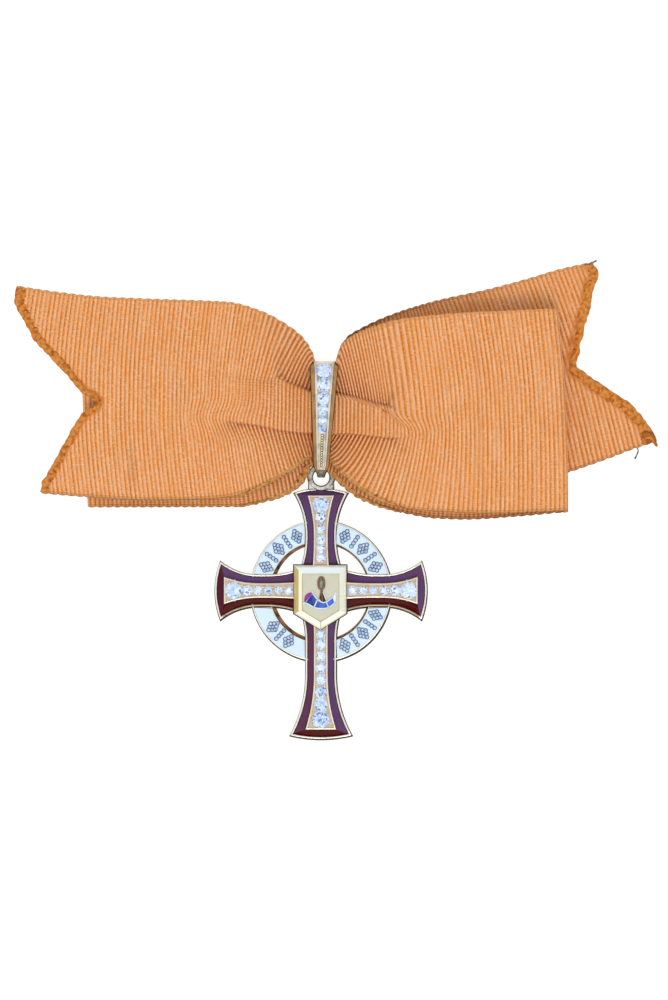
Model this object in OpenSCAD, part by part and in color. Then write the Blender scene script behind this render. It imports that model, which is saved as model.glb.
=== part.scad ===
// An honour medal: a gold and enamel cross set with diamonds, hung by its ring
// from a tapering bail that gathers a ribbed ribbon into a bow.
// It lies on its back, seen from above as it is worn: +X is the right of the
// picture, +Y is up the picture, and the table is z = 0.
// All plan sizes are measured from the centre of the cross.

/* [Cross] */
// Centre of the cross to the end of the left and right arms
side_reach = 19.24; // [18.6:0.1:20]
// Centre of the cross to the end of the upper arm
top_reach = 18.54; // [18:0.1:19]
// Centre of the cross to the end of the lower arm
foot_reach = 26.9; // [26.4:0.1:28]
// Width of the gold edge outside the red enamel
rim_w = 0.6; // [0.4:0.05:0.7]
// Height of that edge above the table
rim_h = 1.5; // [1.4:0.05:1.6]
// Thickness of the gold floor under the enamel
floor_h = 0.85; // [0.6:0.05:0.9]
// Top of the red enamel
enamel_top = 1.95; // [1.7:0.05:2.1]
// Top of the raised field that carries the diamonds
field_h = 2.5; // [2.3:0.05:2.6]
// Width of the thread of metal that frames the diamonds
field_rim_w = 0.2; // [0.15:0.05:0.25]

/* [Wheel] */
// Outer radius of the wheel between the arms
wheel_r = 12.7; // [12.2:0.1:13]
// Width of the wheel
wheel_w = 4.05; // [3.9:0.05:4.2]
// Width of its two metal edges
wheel_rim_w = 0.3; // [0.25:0.05:0.4]
// Height of those edges
wheel_h = 1.3; // [1.2:0.05:1.4]
// Radius of each small diamond on the white enamel
spark_r = 0.25; // [0.2:0.01:0.26]

/* [Shield] */
// Half the width of the shield
shield_half = 4.75; // [4.6:0.05:4.8]
// Height of its top edge above the centre of the cross
shield_top = 4.6; // [4.4:0.05:4.7]
// Depth of its shoulders below the centre
shield_shoulder = 4.3; // [4.2:0.05:4.5]
// Depth of its point below the centre
shield_point = 7.0; // [6.8:0.05:7.1]
// Top of the shield's bevelled border
shield_h = 3.4; // [3.2:0.05:3.6]

/* [Bail] */
// Top of the bail above the centre of the cross
bail_top = 41.4; // [41.2:0.1:41.8]
// Lower tip of the bail above the centre of the cross
bail_foot = 20.3; // [20.1:0.05:20.4]
// Width of the bail at its top
bail_w = 5.2; // [5:0.1:5.3]
// Width of the bail at its foot
bail_foot_w = 2.6; // [2.4:0.05:2.7]
// Depth of the bail from the table to its face
bail_h = 7.2; // [7.1:0.05:7.6]
// Thickness of its front strip
bail_front_t = 1.1; // [1:0.05:1.2]
// Thickness of its back strip and of its lower bend
bail_back_t = 0.7; // [0.6:0.05:0.75]
// Lean of the bail to the right, in degrees
bail_lean = 1.6; // [1:0.1:2]
// Radius of the wire of the cross's ring
ring_wire_r = 0.38; // [0.34:0.02:0.4]
// Inner radius of the cross's ring
ring_hole_r = 1.6; // [1.55:0.05:1.7]

/* [Ribbon] */
// Thickness of the ribbon's wall
cloth_t = 1.0; // [1:0.05:1.05]
// Rise of the middle band between the two creases at the bail
band_rise = 0.45; // [0.2:0.05:0.5]
// Distance from the bail at which the creases have nearly gone
crease_reach = 9; // [6:0.5:12]
// Depth of the cut in the front tail
front_notch = 12.7; // [9:0.1:14]
// Depth of the cut in the rear tail
rear_notch = 9.5; // [7:0.1:11]

/* [Pin] */
// Length of the brooch pin
pin_l = 18; // [14:0.5:19]
// Radius of its wire
pin_wire_r = 0.35; // [0.3:0.01:0.35]

/* [Hidden] */
$fn = 96;
play = 0.05;        // gap between two pieces
eps = 0.01;         // sliver that makes a cut run through a face

// The four arms, each drawn pointing up the picture and then turned.
// A side edge has a straight waist, a long arc towards the centre and a flare
// to the corner; the end is an arc. The field is the raised strip inside it.
TURN = 0;
REACH = 1;
CORNER = 2;         // distance of the two corners from the centre
CORNER_HALF = 3;    // half the width at the corners
WAIST_FROM = 4;
WAIST_TO = 5;
WAIST_HALF = 6;
END_R = 7;
FIELD_REACH = 8;
FIELD_END_HALF = 9;
FIELD_HALF = 10;
ROOT_R = 17;        // radius of every side edge from the waist to the centre
ROOT_FROM = 3.2;    // an arm starts this far from the centre, under the shield
ARMS = [
    [0, top_reach, top_reach - 0.85, 5.06, 9.6, 9.9, 2.86, 15.5, 17.1, 2.35, 1.22],
    [-90, side_reach, side_reach - 1.14, 5.45, 9.7, 11.2, 3.0, 15, 17.4, 2.43, 1.28],
    [180, foot_reach, foot_reach - 0.7, 5.8, 9.0, 15.2, 2.9, 23.8, 25.0, 2.73, 1.2],
    [90, side_reach, side_reach - 1.14, 5.45, 9.7, 11.2, 3.0, 15, 17.4, 2.43, 1.28],
];
ARM_NAMES = ["top", "right", "bottom", "left"];

// Diamonds of each arm, from the centre outwards: distance, radius.
ARM_STONES = [
    [[5.9, 0.78], [7.56, 0.72], [9.2, 0.76], [11.05, 0.72], [13.15, 0.9], [15.5, 1.35]],
    [[5.72, 0.8], [7.6, 0.72], [9.41, 0.66], [11.38, 0.79], [13.4, 0.92], [15.85, 1.4]],
    [[7.94, 0.79], [9.72, 0.83], [11.8, 0.83], [13.9, 0.92], [15.97, 0.88], [18.25, 1.0],
        [20.55, 1.13], [23.25, 1.43]],
    [[5.72, 0.7], [7.6, 0.66], [9.43, 0.7], [11.3, 0.76], [13.22, 0.86], [15.7, 1.42]],
];
// Diamonds of the bail, from its top down: height on the face, radius.
BAIL_STONES = [[39.6, 1.38], [36.95, 1.2], [34.5, 1.08], [32.3, 0.94], [30.5, 0.76], [28.9, 0.62]];
STONE_SIDES = 10;
CROWN = 0.32;       // height of a stone above its girdle, as a share of its radius
PAVILION = 0.6;     // depth below the girdle on the cross
BAIL_PAVILION = 0.42;
TABLE = 0.55;       // radius of the table
GIRDLE = 0.05;      // half the girdle's height
SEAT_SIDES = 12;

WHEEL_BACK = 0.2;       // height of the wheel's back above the table
WHEEL_FLOOR = 0.7;      // floor under its enamel

// The wheel's ornament: lozenges of small diamonds between upright rows of them.
SPARK_SIDES = 8;
SPARK_TABLE = 0.6;      // radius of its flat top, as a share of its own
SPARK_TALL = 0.5;       // and its height
SPARK_PITCH = 0.62;     // spacing along a row
SPARK_ROW = 0.56;       // spacing of the rows of a lozenge
LOZENGE_ROWS = [1, 2, 3, 2, 1];
UPRIGHT_ROWS = [1, 1, 1];
// Quadrants: angle of the middle motif, number of motifs, step between them,
// and whether the first motif is a lozenge.
QUADRANTS = [[45, 7, 7.7, false], [135, 7, 7.7, false], [229, 3, 10, true], [315, 7, 7.7, false]];

// The horn on the shield is what one circle leaves of another.
HORN_C = [-0.25, 0.15];
HORN_R = 3.5;
HORN_BORE_C = [0.5, 0.2];
HORN_BORE_R = 2.2;
HORN_ANGLES = [214, 256, 300, 326, 346];    // mouth, two bands, end of the blue, tip
HORN_FRAME = 0.14;
HORN_H = 0.3;
MOUTH_C = [-2.3, -1.3];
MOUTH_TURN = 139.5;
MOUTH_HALF = 1.12;      // half the length of the mouth
MOUTH_BULGE = 0.68;     // how far it swells outwards
MOUTH_HOLLOW = 0.12;    // and towards the horn
CORD_R = 0.72;
CORD_W = 0.3;
CORD_LOW = 0.75;        // centre of the loop's lower bend
CORD_HIGH = 1.95;       // centre of its upper bend
CORD_FALL = 2.3;        // length of the two cords down to the horn
CORD_TURNS = [3, 22];   // and their lean
SHIELD_STEP = 0.35;     // width of the steep outer bevel
SHIELD_STEP_FALL = 0.5; // and its fall
SHIELD_EASY_FALL = 0.35;    // fall of the wide bevel inside it
SHIELD_BORDER = 1.2;    // width of both bevels
SHIELD_BASE = 2.05;
SHIELD_SINK = 0.2;      // depth of the field inside the border

// The ribbon in six runs from the knot outwards, in the order in which one
// length of it goes: front tail, front and back of the right loop, front and
// back of the left loop, rear tail.
KNOT_TOP_X = 0.61;
KNOT_FOOT_X = 0.1;
IN_BAIL = 2.72;         // half the stretch that keeps inside the bail
OUT_OF_BAIL = 3.9;      // from the middle of the knot to the first swell
FURTHER = [0.14, 0.26, 0.5, 0.8, 1];    // later stations, as shares of a run
TOP_EDGE = [
    [39.2, 39.3, 45.6, 48.5, 51.3, 52.35, 53.5, 54.6],
    [39.2, 39.3, 44.3, 46.3, 48.1, 49.7, 50.2, 50.7],
    [39.3, 39.4, 44.0, 46.0, 47.8, 49.2, 49.9, 50.5],
    [39.3, 39.4, 43.2, 47.0, 49.7, 51.6, 51.6, 51.4],
    [39.3, 39.4, 42.9, 46.6, 49.5, 51.4, 51.4, 51.3],
    [39.3, 39.4, 44.6, 47.3, 50.0, 53.0, 57.0, 59.1],
];
FOOT_EDGE = [
    [23.4, 23.6, 22.7, 20.6, 17.6, 16.5, 17.0, 17.6],
    [23.4, 22.8, 21.4, 19.2, 16.2, 14.25, 13.9, 14.1],
    [22.5, 21.6, 20.0, 17.2, 15.0, 12.9, 13.6, 14.0],
    [22.5, 21.8, 20.4, 18.0, 16.1, 15.2, 15.2, 15.2],
    [22.5, 21.9, 20.8, 18.6, 16.5, 15.5, 15.4, 15.3],
    [22.5, 21.2, 19.6, 17.9, 16.6, 16.4, 22.5, 26.3],
];
LEVEL = [           // height of the middle of the wall
    [4.95, 4.95, 5.0, 5.15, 5.5, 5.6, 5.1, 4.6],
    [4.95, 4.95, 5.0, 5.15, 5.5, 6.0, 5.7, 5.0],
    [3.75, 3.75, 3.75, 3.75, 3.5, 2.3, 2.0, 2.2],
    [3.75, 3.75, 3.75, 3.8, 3.9, 3.9, 3.6, 3.2],
    [2.55, 2.55, 2.5, 2.3, 2.15, 0.8, 0.5, 0.6],
    [2.55, 2.55, 2.45, 2.15, 1.4, 0.6, 0.5, 0.5],
];
// How far each run goes: x of its end on the top edge, x on the lower edge,
// depth of the cut.
RUN_ENDS = [
    [-55.3, -50.5, front_notch],
    [40.2, 42.6, 0],
    [40.2, 42.6, 0],
    [-42.1, -39.6, 0],
    [-42.1, -39.6, 0],
    [49.6, 60.4, rear_notch],
];
RUN_STEPS = 11;     // sections drawn on each run past the knot, closer together there
RUN_CROWDING = 1.5;
FOLD_STEPS = 6;
WIDTH_STEPS = 20;
NOTCH_FROM = 0.55;  // share of a tail at which its cut begins to show
NOTCH_AT = 0.55;    // share of the width at which the cut is deepest
// The creases run across the picture: height at the bail, slope.
UPPER_CREASE = [36.0, -0.3];
LOWER_CREASE = [28.1, -0.08];
CREASE_HALF = 1.0;  // half the width of a crease's step

function stone_name(a, i) = str("stone_", ARM_NAMES[a], "_", i);
function lerp(a, b, t) = a + (b - a) * t;

// A smooth curve through one row of a table, never beyond its own values.
function stations(run) =
    let (reach = abs(RUN_ENDS[run][0] - KNOT_TOP_X))
    concat([0, IN_BAIL / reach, OUT_OF_BAIL / reach], FURTHER);
function secant(row, s, i) = (row[i + 1] - row[i]) / (s[i + 1] - s[i]);
function mean_slope(a, b) = a * b <= 0 ? 0 : 2 * a * b / (a + b);
function slope(row, s, i) =
    i == 0 ? secant(row, s, 0)
    : i == len(s) - 1 ? secant(row, s, i - 1)
    : mean_slope(secant(row, s, i - 1), secant(row, s, i));
function along(row, s, u) =
    let (i = max([for (k = [0:len(s) - 2]) if (u >= s[k]) k]),
         w = s[i + 1] - s[i],
         t = (u - s[i]) / w)
    row[i] * (2 * pow(t, 3) - 3 * pow(t, 2) + 1)
    + slope(row, s, i) * w * (pow(t, 3) - 2 * pow(t, 2) + t)
    + row[i + 1] * (3 * pow(t, 2) - 2 * pow(t, 3))
    + slope(row, s, i + 1) * w * (pow(t, 3) - pow(t, 2));

// A section of the ribbon: x and y on its top edge, x and y on its lower edge,
// level, and how far the middle is pulled back by the cut.
function section(run, u) =
    let (s = stations(run))
    [lerp(KNOT_TOP_X, RUN_ENDS[run][0], u), along(TOP_EDGE[run], s, u),
     lerp(KNOT_FOOT_X, RUN_ENDS[run][1], u), along(FOOT_EDGE[run], s, u),
     along(LEVEL[run], s, u),
     sign(RUN_ENDS[run][0]) * RUN_ENDS[run][2] * max(0, (u - NOTCH_FROM) / (1 - NOTCH_FROM))];
function fold(front, back, angle) =
    let (a = section(front, 1),
         b = section(back, 1),
         r = (a[4] - b[4]) / 2,
         out = sign(a[0]) * r * sin(angle))
    [a[0] + out, lerp(a[1], b[1], angle / 180), a[2] + out, lerp(a[3], b[3], angle / 180),
     (a[4] + b[4]) / 2 + r * cos(angle), 0];
function shares(run) =
    let (s = stations(run))
    concat([s[1] / 2, s[1], (s[1] + s[2]) / 2, s[2]],
        [for (i = [1:RUN_STEPS]) lerp(s[2], 1, pow(i / RUN_STEPS, RUN_CROWDING))]);
function outward(run) = [for (u = shares(run)) section(run, u)];
function inward(run) =
    let (all = shares(run))
    [for (i = [len(all) - 1:-1:0]) section(run, all[i])];
function round_fold(front, back) =
    [for (k = [1:FOLD_STEPS - 1]) fold(front, back, 180 * k / FOLD_STEPS)];
SECTIONS = concat(
    inward(0), [section(0, 0)], outward(1), round_fold(1, 2),
    inward(2), [section(2, 0)], outward(3), round_fold(3, 4),
    inward(4), [section(4, 0)], outward(5));
LAST = len(SECTIONS) - 1;

// Direction of the wall's upper face at a section, in x and z.
function middle(i) = [(SECTIONS[i][0] + SECTIONS[i][2]) / 2, SECTIONS[i][4]];
function facing(i) =
    let (d = middle(min(i + 1, LAST)) - middle(max(i - 1, 0)))
    [-d[1], d[0]] / norm(d);
function step_up(t) = t <= 0 ? 0 : t >= 1 ? 1 : t * t * (3 - 2 * t);
function past(y, crease, x) =
    step_up((y - crease[0] - crease[1] * x) / (2 * CREASE_HALF) + 0.5);
function rise(x, y) =
    band_rise * exp(-pow(x / crease_reach, 2))
    * (past(y, LOWER_CREASE, x) - past(y, UPPER_CREASE, x));
function cut_back(v) = v < NOTCH_AT ? v / NOTCH_AT : (1 - v) / (1 - NOTCH_AT);
function cloth_point(i, v, side) =
    let (s = SECTIONS[i],
         n = facing(i),
         x = lerp(s[0], s[2], v) - s[5] * cut_back(v),
         y = lerp(s[1], s[3], v))
    [x + side * n[0] * cloth_t / 2, y, s[4] + rise(x, y) + side * n[1] * cloth_t / 2];
CLOTH = [for (i = [0:LAST], j = [0:WIDTH_STEPS], side = [1, -1])
    cloth_point(i, j / WIDTH_STEPS, side)];
function at(i, j, under) = (i * (WIDTH_STEPS + 1) + j) * 2 + under;
function two(a, b, c, d) = [[a, b, c], [a, c, d]];
CLOTH_FACES = [
    for (i = [0:LAST - 1], j = [0:WIDTH_STEPS - 1]) each concat(
        two(at(i, j, 0), at(i + 1, j, 0), at(i + 1, j + 1, 0), at(i, j + 1, 0)),
        two(at(i, j, 1), at(i, j + 1, 1), at(i + 1, j + 1, 1), at(i + 1, j, 1))),
    for (i = [0:LAST - 1]) each concat(
        two(at(i + 1, 0, 0), at(i, 0, 0), at(i, 0, 1), at(i + 1, 0, 1)),
        two(at(i, WIDTH_STEPS, 0), at(i + 1, WIDTH_STEPS, 0),
            at(i + 1, WIDTH_STEPS, 1), at(i, WIDTH_STEPS, 1))),
    for (j = [0:WIDTH_STEPS - 1]) each concat(
        two(at(0, j, 0), at(0, j + 1, 0), at(0, j + 1, 1), at(0, j, 1)),
        two(at(LAST, j + 1, 0), at(LAST, j, 0), at(LAST, j, 1), at(LAST, j + 1, 1))),
];

// Half way between the outermost points in x and y, which becomes the origin.
CENTRE = [
    (min([for (p = CLOTH) p[0]]) + max([for (p = CLOTH) p[0]])) / 2,
    (max([for (p = CLOTH) p[1]]) - foot_reach) / 2,
];

// A closed solid through loops of points that all turn the same way.
module loft(loops) {
    n = len(loops[0]);
    polyhedron(
        points = [for (loop = loops) each loop],
        faces = concat(
            [[for (j = [n - 1:-1:0]) j]],
            [for (k = [0:len(loops) - 2], j = [0:n - 1]) each
                two(k * n + j, k * n + (j + 1) % n, (k + 1) * n + (j + 1) % n, (k + 1) * n + j)],
            [[for (j = [0:n - 1]) (len(loops) - 1) * n + j]]));
}
function ring_of(n, r, z) = [for (j = [0:n - 1]) [r * cos(360 * j / n), r * sin(360 * j / n), z]];

// A round cut stone with its girdle at z = 0.
module cut_stone(r, pavilion) {
    loft([
        ring_of(STONE_SIDES, TABLE * r, CROWN * r),
        ring_of(STONE_SIDES, r, GIRDLE * r),
        ring_of(STONE_SIDES, r, -GIRDLE * r),
        ring_of(STONE_SIDES, 0.2 * r, -pavilion * r),
    ]);
}
// The pocket that holds it.
module seat(r, pavilion) {
    depth = pavilion * r + play;
    translate([0, 0, -depth])
        cylinder(h = depth + 1, r = (r + play) / cos(180 / SEAT_SIDES), $fn = SEAT_SIDES);
}

// Plan of one arm, drawn upwards and brought in by inset all round.
function flare_r(a) =
    let (up = a[CORNER] - a[WAIST_TO], out = a[CORNER_HALF] - a[WAIST_HALF])
    (up * up + out * out) / (2 * out);
module side_cuts(half, from, to, flare, root, inset) {
    reach = 40;
    for (s = [-1, 1]) {
        translate([s * (half + flare), to]) circle(flare + inset);
        translate([s < 0 ? -reach - half + inset : half - inset, from])
            square([reach, to - from]);
        intersection() {
            translate([s * (half + root), from]) circle(root + inset);
            translate([-reach, -reach]) square([2 * reach, reach + from]);
        }
    }
}
module arm_plan(a, inset = 0) {
    difference() {
        intersection() {
            translate([0, a[REACH] - a[END_R]]) circle(a[END_R] - inset);
            translate([-a[CORNER_HALF] - 1, ROOT_FROM])
                square([2 * a[CORNER_HALF] + 2, a[REACH]]);
        }
        side_cuts(a[WAIST_HALF], a[WAIST_FROM], a[WAIST_TO], flare_r(a), ROOT_R, inset);
    }
}
// Plan of the raised field that carries an arm's diamonds.
function field_flare_r(a) =
    let (up = a[FIELD_REACH] - a[WAIST_TO], out = a[FIELD_END_HALF] - a[FIELD_HALF])
    (up * up + out * out) / (2 * out);
module field_plan(a, inset = 0) {
    difference() {
        translate([-a[FIELD_END_HALF] - 1, 0])
            square([2 * a[FIELD_END_HALF] + 2, a[FIELD_REACH] - inset]);
        side_cuts(a[FIELD_HALF], a[WAIST_FROM], a[WAIST_TO], field_flare_r(a), 4 * ROOT_R, inset);
    }
}
module turned(a) {
    rotate([0, 0, a[TURN]]) children();
}
module flat_turned(a) {
    rotate(a[TURN]) children();
}
module slab(from, to) {
    translate([0, 0, from]) linear_extrude(to - from) children();
}

// Corners of the shield, brought in by inset.
function shield_loop(inset, z) =
    let (half = shield_half - inset,
         fall = (shield_point - shield_shoulder) / shield_half,
         point = -shield_point + inset * sqrt(1 + fall * fall))
    [[half, shield_top - inset, z], [-half, shield_top - inset, z],
     [-half, point + half * fall, z], [0, point, z], [half, point + half * fall, z]];
module shield_plan(inset) {
    polygon([for (p = shield_loop(inset, 0)) [p[0], p[1]]]);
}

module wheel_plan(from, to, clear) {
    difference() {
        circle(to);
        circle(from);
        for (a = ARMS) flat_turned(a) arm_plan(a, -clear);
    }
}

// The ring at the top of the cross lies flat and passes through the bail.
RING_R = ring_hole_r + ring_wire_r;
RING_Y = 20.45;
RING_Z = 1.45;
RING_FOOT_X = 1.45;     // a small foot on each side solders the ring to the arm
RING_FOOT_W = 1.5;
RING_FOOT_L = 1.0;
module hanging_ring() {
    translate([0, RING_Y, RING_Z]) rotate_extrude() translate([RING_R, 0]) circle(ring_wire_r);
    for (s = [-1, 1]) translate([s * RING_FOOT_X, top_reach - RING_FOOT_L / 2, 0])
        slab(floor_h, RING_Z + ring_wire_r / 2) polygon([
            [-RING_FOOT_W / 2, -RING_FOOT_L / 2], [RING_FOOT_W / 2, -RING_FOOT_L / 2],
            [RING_FOOT_W / 5, RING_FOOT_L / 2], [-RING_FOOT_W / 5, RING_FOOT_L / 2]]);
}

module cross_body() {
    wheel_in = wheel_r - wheel_w;
    color("gold") difference() {
        union() {
            for (a = ARMS) turned(a) {
                slab(0, floor_h) arm_plan(a);
                slab(0, rim_h) difference() {
                    arm_plan(a);
                    arm_plan(a, rim_w);
                }
                slab(0, field_h) field_plan(a);
            }
            slab(WHEEL_BACK, WHEEL_FLOOR) wheel_plan(wheel_in, wheel_r, -eps);
            slab(WHEEL_BACK, wheel_h) wheel_plan(wheel_in, wheel_in + wheel_rim_w, -eps);
            slab(WHEEL_BACK, wheel_h) wheel_plan(wheel_r - wheel_rim_w, wheel_r, -eps);
            slab(0, SHIELD_BASE - play) shield_plan(SHIELD_STEP);
            hanging_ring();
        }
        slab(SHIELD_BASE - play, field_h + 1) shield_plan(-play);
        for (n = [0:3]) turned(ARMS[n]) {
            slab(field_h - field_rim_w, field_h + 1) difference() {
                field_plan(ARMS[n], field_rim_w);
                translate([-ROOT_FROM, -ROOT_FROM]) square(2 * ROOT_FROM);
            }
            for (s = ARM_STONES[n]) translate([0, s[0], field_h - field_rim_w])
                seat(s[1], PAVILION);
        }
    }
}

module arm_enamel(n) {
    a = ARMS[n];
    color("indigo") slab(floor_h + play, enamel_top) difference() {
        turned(a) arm_plan(a, rim_w + play);
        turned(a) field_plan(a, -play);
        shield_plan(SHIELD_STEP - play);
    }
}

module wheel_enamel(n) {
    color("aliceblue") slab(WHEEL_FLOOR + play, wheel_h - play) intersection() {
        wheel_plan(wheel_r - wheel_w + wheel_rim_w + play, wheel_r - wheel_rim_w - play, play);
        rotate(90 * n) square(wheel_r + 1);
    }
}

module arm_stone(n, i) {
    s = ARM_STONES[n][i];
    color("lightcyan") turned(ARMS[n]) translate([0, s[0], field_h - field_rim_w])
        cut_stone(s[1], PAVILION);
}

module spark(x, y) {
    translate([x, y, wheel_h]) loft([
        ring_of(SPARK_SIDES, SPARK_TABLE * spark_r, SPARK_TALL * spark_r),
        ring_of(SPARK_SIDES, spark_r, 0),
    ]);
}
module motif(rows, row_step) {
    for (k = [0:len(rows) - 1], i = [0:rows[k] - 1])
        spark((i - (rows[k] - 1) / 2) * SPARK_PITCH, (k - (len(rows) - 1) / 2) * row_step);
}
module wheel_stones() {
    middle_r = wheel_r - wheel_w / 2;
    color("lightcyan") for (q = QUADRANTS, m = [0:q[1] - 1]) {
        angle = q[0] + (m - (q[1] - 1) / 2) * q[2];
        rotate([0, 0, angle - 90]) translate([0, middle_r, 0]) {
            if ((m % 2 == 0) == q[3]) motif(LOZENGE_ROWS, SPARK_ROW);
            else motif(UPRIGHT_ROWS, SPARK_PITCH);
        }
    }
}

module wedge(from, to) {
    reach = 7;
    mid = (from + to) / 2;
    translate(HORN_C) polygon([[0, 0],
        for (angle = [from, mid, to]) reach * [cos(angle), sin(angle)]]);
}
module horn_plan(inset) {
    difference() {
        translate(HORN_C) circle(HORN_R - inset);
        translate(HORN_BORE_C) circle(HORN_BORE_R + inset);
    }
}
module horn_panel_plan(n, inset) {
    gap = inset * 180 / (PI * HORN_R);  // degrees that a band of this half width covers
    intersection() {
        horn_plan(inset);
        wedge(HORN_ANGLES[n] + gap, HORN_ANGLES[n + 1] - gap);
    }
}
module mouth_plan(inset) {
    out_r = (MOUTH_HALF * MOUTH_HALF + MOUTH_BULGE * MOUTH_BULGE) / (2 * MOUTH_BULGE);
    in_r = (MOUTH_HALF * MOUTH_HALF + MOUTH_HOLLOW * MOUTH_HOLLOW) / (2 * MOUTH_HOLLOW);
    translate(MOUTH_C) rotate(MOUTH_TURN) intersection() {
        translate([MOUTH_BULGE - out_r, 0]) circle(out_r - inset);
        translate([in_r - MOUTH_HOLLOW, 0]) circle(in_r - inset);
    }
}
module cord_oval(r) {
    for (y = [CORD_LOW, CORD_HIGH]) translate([0, y]) circle(r);
    translate([-r, CORD_LOW]) square([2 * r, CORD_HIGH - CORD_LOW]);
}
module cord_plan() {
    difference() {
        cord_oval(CORD_R);
        cord_oval(CORD_R - CORD_W);
    }
    for (angle = CORD_TURNS) translate([0, CORD_LOW - CORD_R + CORD_W]) rotate(angle)
        translate([-CORD_W / 2, -CORD_FALL]) square([CORD_W, CORD_FALL]);
}
module shield() {
    field_z = shield_h - SHIELD_SINK;
    color("khaki") difference() {
        union() {
            loft([
                shield_loop(SHIELD_BORDER + play, field_z),
                shield_loop(SHIELD_BORDER, shield_h),
                shield_loop(SHIELD_STEP, shield_h - SHIELD_EASY_FALL),
                shield_loop(0, shield_h - SHIELD_EASY_FALL - SHIELD_STEP_FALL),
                shield_loop(0, SHIELD_BASE),
            ]);
            slab(SHIELD_BASE, field_z + HORN_H) {
                intersection() {
                    horn_plan(0);
                    wedge(HORN_ANGLES[0], HORN_ANGLES[4]);
                }
                mouth_plan(-HORN_FRAME);
                cord_plan();
            }
        }
        slab(field_z + eps, field_z + 1) {
            for (n = [0:2]) horn_panel_plan(n, HORN_FRAME);
            mouth_plan(0);
        }
    }
}
module horn_panel(n) {
    field_z = shield_h - SHIELD_SINK;
    color("mediumblue") slab(field_z + play, field_z + HORN_H)
        horn_panel_plan(n, HORN_FRAME + play / 2);
}
module horn_mouth() {
    field_z = shield_h - SHIELD_SINK;
    color("crimson") slab(field_z + play, field_z + HORN_H) mouth_plan(play / 2);
}

// Side view of the bail, in y and z: a round top and a squarer foot.
BAIL_TOP_R = bail_h / 2;
BAIL_FOOT_R = 1.4;
BAIL_FLANK = 0.9;       // height of the sloping sides of the face
BAIL_FACE = 0.68;       // width of the face as a share of the whole
module bail_side(front, back) {
    low = bail_foot + back;
    high = bail_top - BAIL_TOP_R;
    foot_r = BAIL_FOOT_R - back;
    face = bail_h - front;
    translate([low, back + foot_r]) square([high - low, face - back - 2 * foot_r]);
    translate([low + foot_r, back]) square([high - low - foot_r, face - back]);
    for (z = [back + foot_r, face - foot_r]) translate([low + foot_r, z]) circle(foot_r);
    translate([high, (back + face) / 2]) circle((face - back) / 2);
}
function bail_half(y) =
    lerp(bail_foot_w, bail_w, (y - bail_foot) / (bail_top - bail_foot)) / 2;
module bail_taper() {
    function row(y) = [
        [bail_half(y), y, -1], [bail_half(y), y, bail_h - BAIL_FLANK],
        [BAIL_FACE * bail_half(y), y, bail_h + eps], [-BAIL_FACE * bail_half(y), y, bail_h + eps],
        [-bail_half(y), y, bail_h - BAIL_FLANK], [-bail_half(y), y, -1]];
    loft([row(bail_foot - 1), row(bail_top + 1)]);
}
BAIL_MID = 0.05;        // x of the bail's foot
module bail_placed() {
    translate([BAIL_MID, bail_foot, 0]) rotate([0, 0, -bail_lean])
        translate([0, -bail_foot, 0]) children();
}
// Puts a stone on the face at height y, tipped back where the top bends away.
module on_bail_face(y) {
    bend = bail_top - BAIL_TOP_R;
    tip = y > bend ? asin((y - bend) / BAIL_TOP_R) : 0;
    translate([0, min(y, bend), BAIL_TOP_R]) rotate([-tip, 0, 0]) translate([0, 0, BAIL_TOP_R])
        children();
}
module bail() {
    color("gold") bail_placed() difference() {
        intersection() {
            rotate([90, 0, 90]) translate([0, 0, -bail_w]) linear_extrude(2 * bail_w)
                difference() {
                    bail_side(0, 0);
                    bail_side(bail_front_t, bail_back_t);
                }
            bail_taper();
        }
        for (s = BAIL_STONES) on_bail_face(s[0]) seat(s[1], BAIL_PAVILION);
    }
}
module bail_stone(i) {
    s = BAIL_STONES[i];
    color("lightcyan") bail_placed() on_bail_face(s[0]) cut_stone(s[1], BAIL_PAVILION);
}

module ribbon_bow() {
    color("sandybrown") polyhedron(points = CLOTH, faces = CLOTH_FACES);
}

// A closed pin that lies behind the knot, inside the bail.
PIN_Y = 30.5;
PIN_GAP = 3.5;          // from the needle to the bar
CATCH_L = 1.2;          // length of the catch at its end
CATCH_OVER = 0.3;       // how far the catch reaches past the wires
PIN_Z = bail_back_t + 1.5 * play + pin_wire_r;
module brooch_pin() {
    bend_r = PIN_GAP / 2;
    straight = pin_l - bend_r - CATCH_L;
    color("silver") translate([-pin_l / 2 + bend_r, PIN_Y, PIN_Z]) {
        for (y = [0, PIN_GAP]) translate([0, y, 0]) rotate([0, 90, 0])
            cylinder(h = straight, r = pin_wire_r);
        translate([0, bend_r, 0]) rotate([0, 0, 90]) rotate_extrude(angle = 180)
            translate([bend_r, 0]) circle(pin_wire_r);
        translate([straight - eps, -pin_wire_r - CATCH_OVER, -pin_wire_r])
            cube([CATCH_L, PIN_GAP + 2 * (pin_wire_r + CATCH_OVER), 2 * pin_wire_r]);
    }
}

module centred() {
    translate([-CENTRE[0], -CENTRE[1], 0]) children();
}
centred() ribbon_bow();
centred() bail();
centred() cross_body();
centred() shield();
centred() horn_mouth();
centred() wheel_stones();
centred() brooch_pin();
for (i = [1:3])
    centred() horn_panel(i - 1);
for (a = [0:3])
    centred() arm_enamel(a);
for (i = [1:4])
    centred() wheel_enamel(i - 1);
for (a = [0:3], i = [1:len(ARM_STONES[a])])
    centred() arm_stone(a, i - 1);
for (i = [1:len(BAIL_STONES)])
    centred() bail_stone(i - 1);
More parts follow.
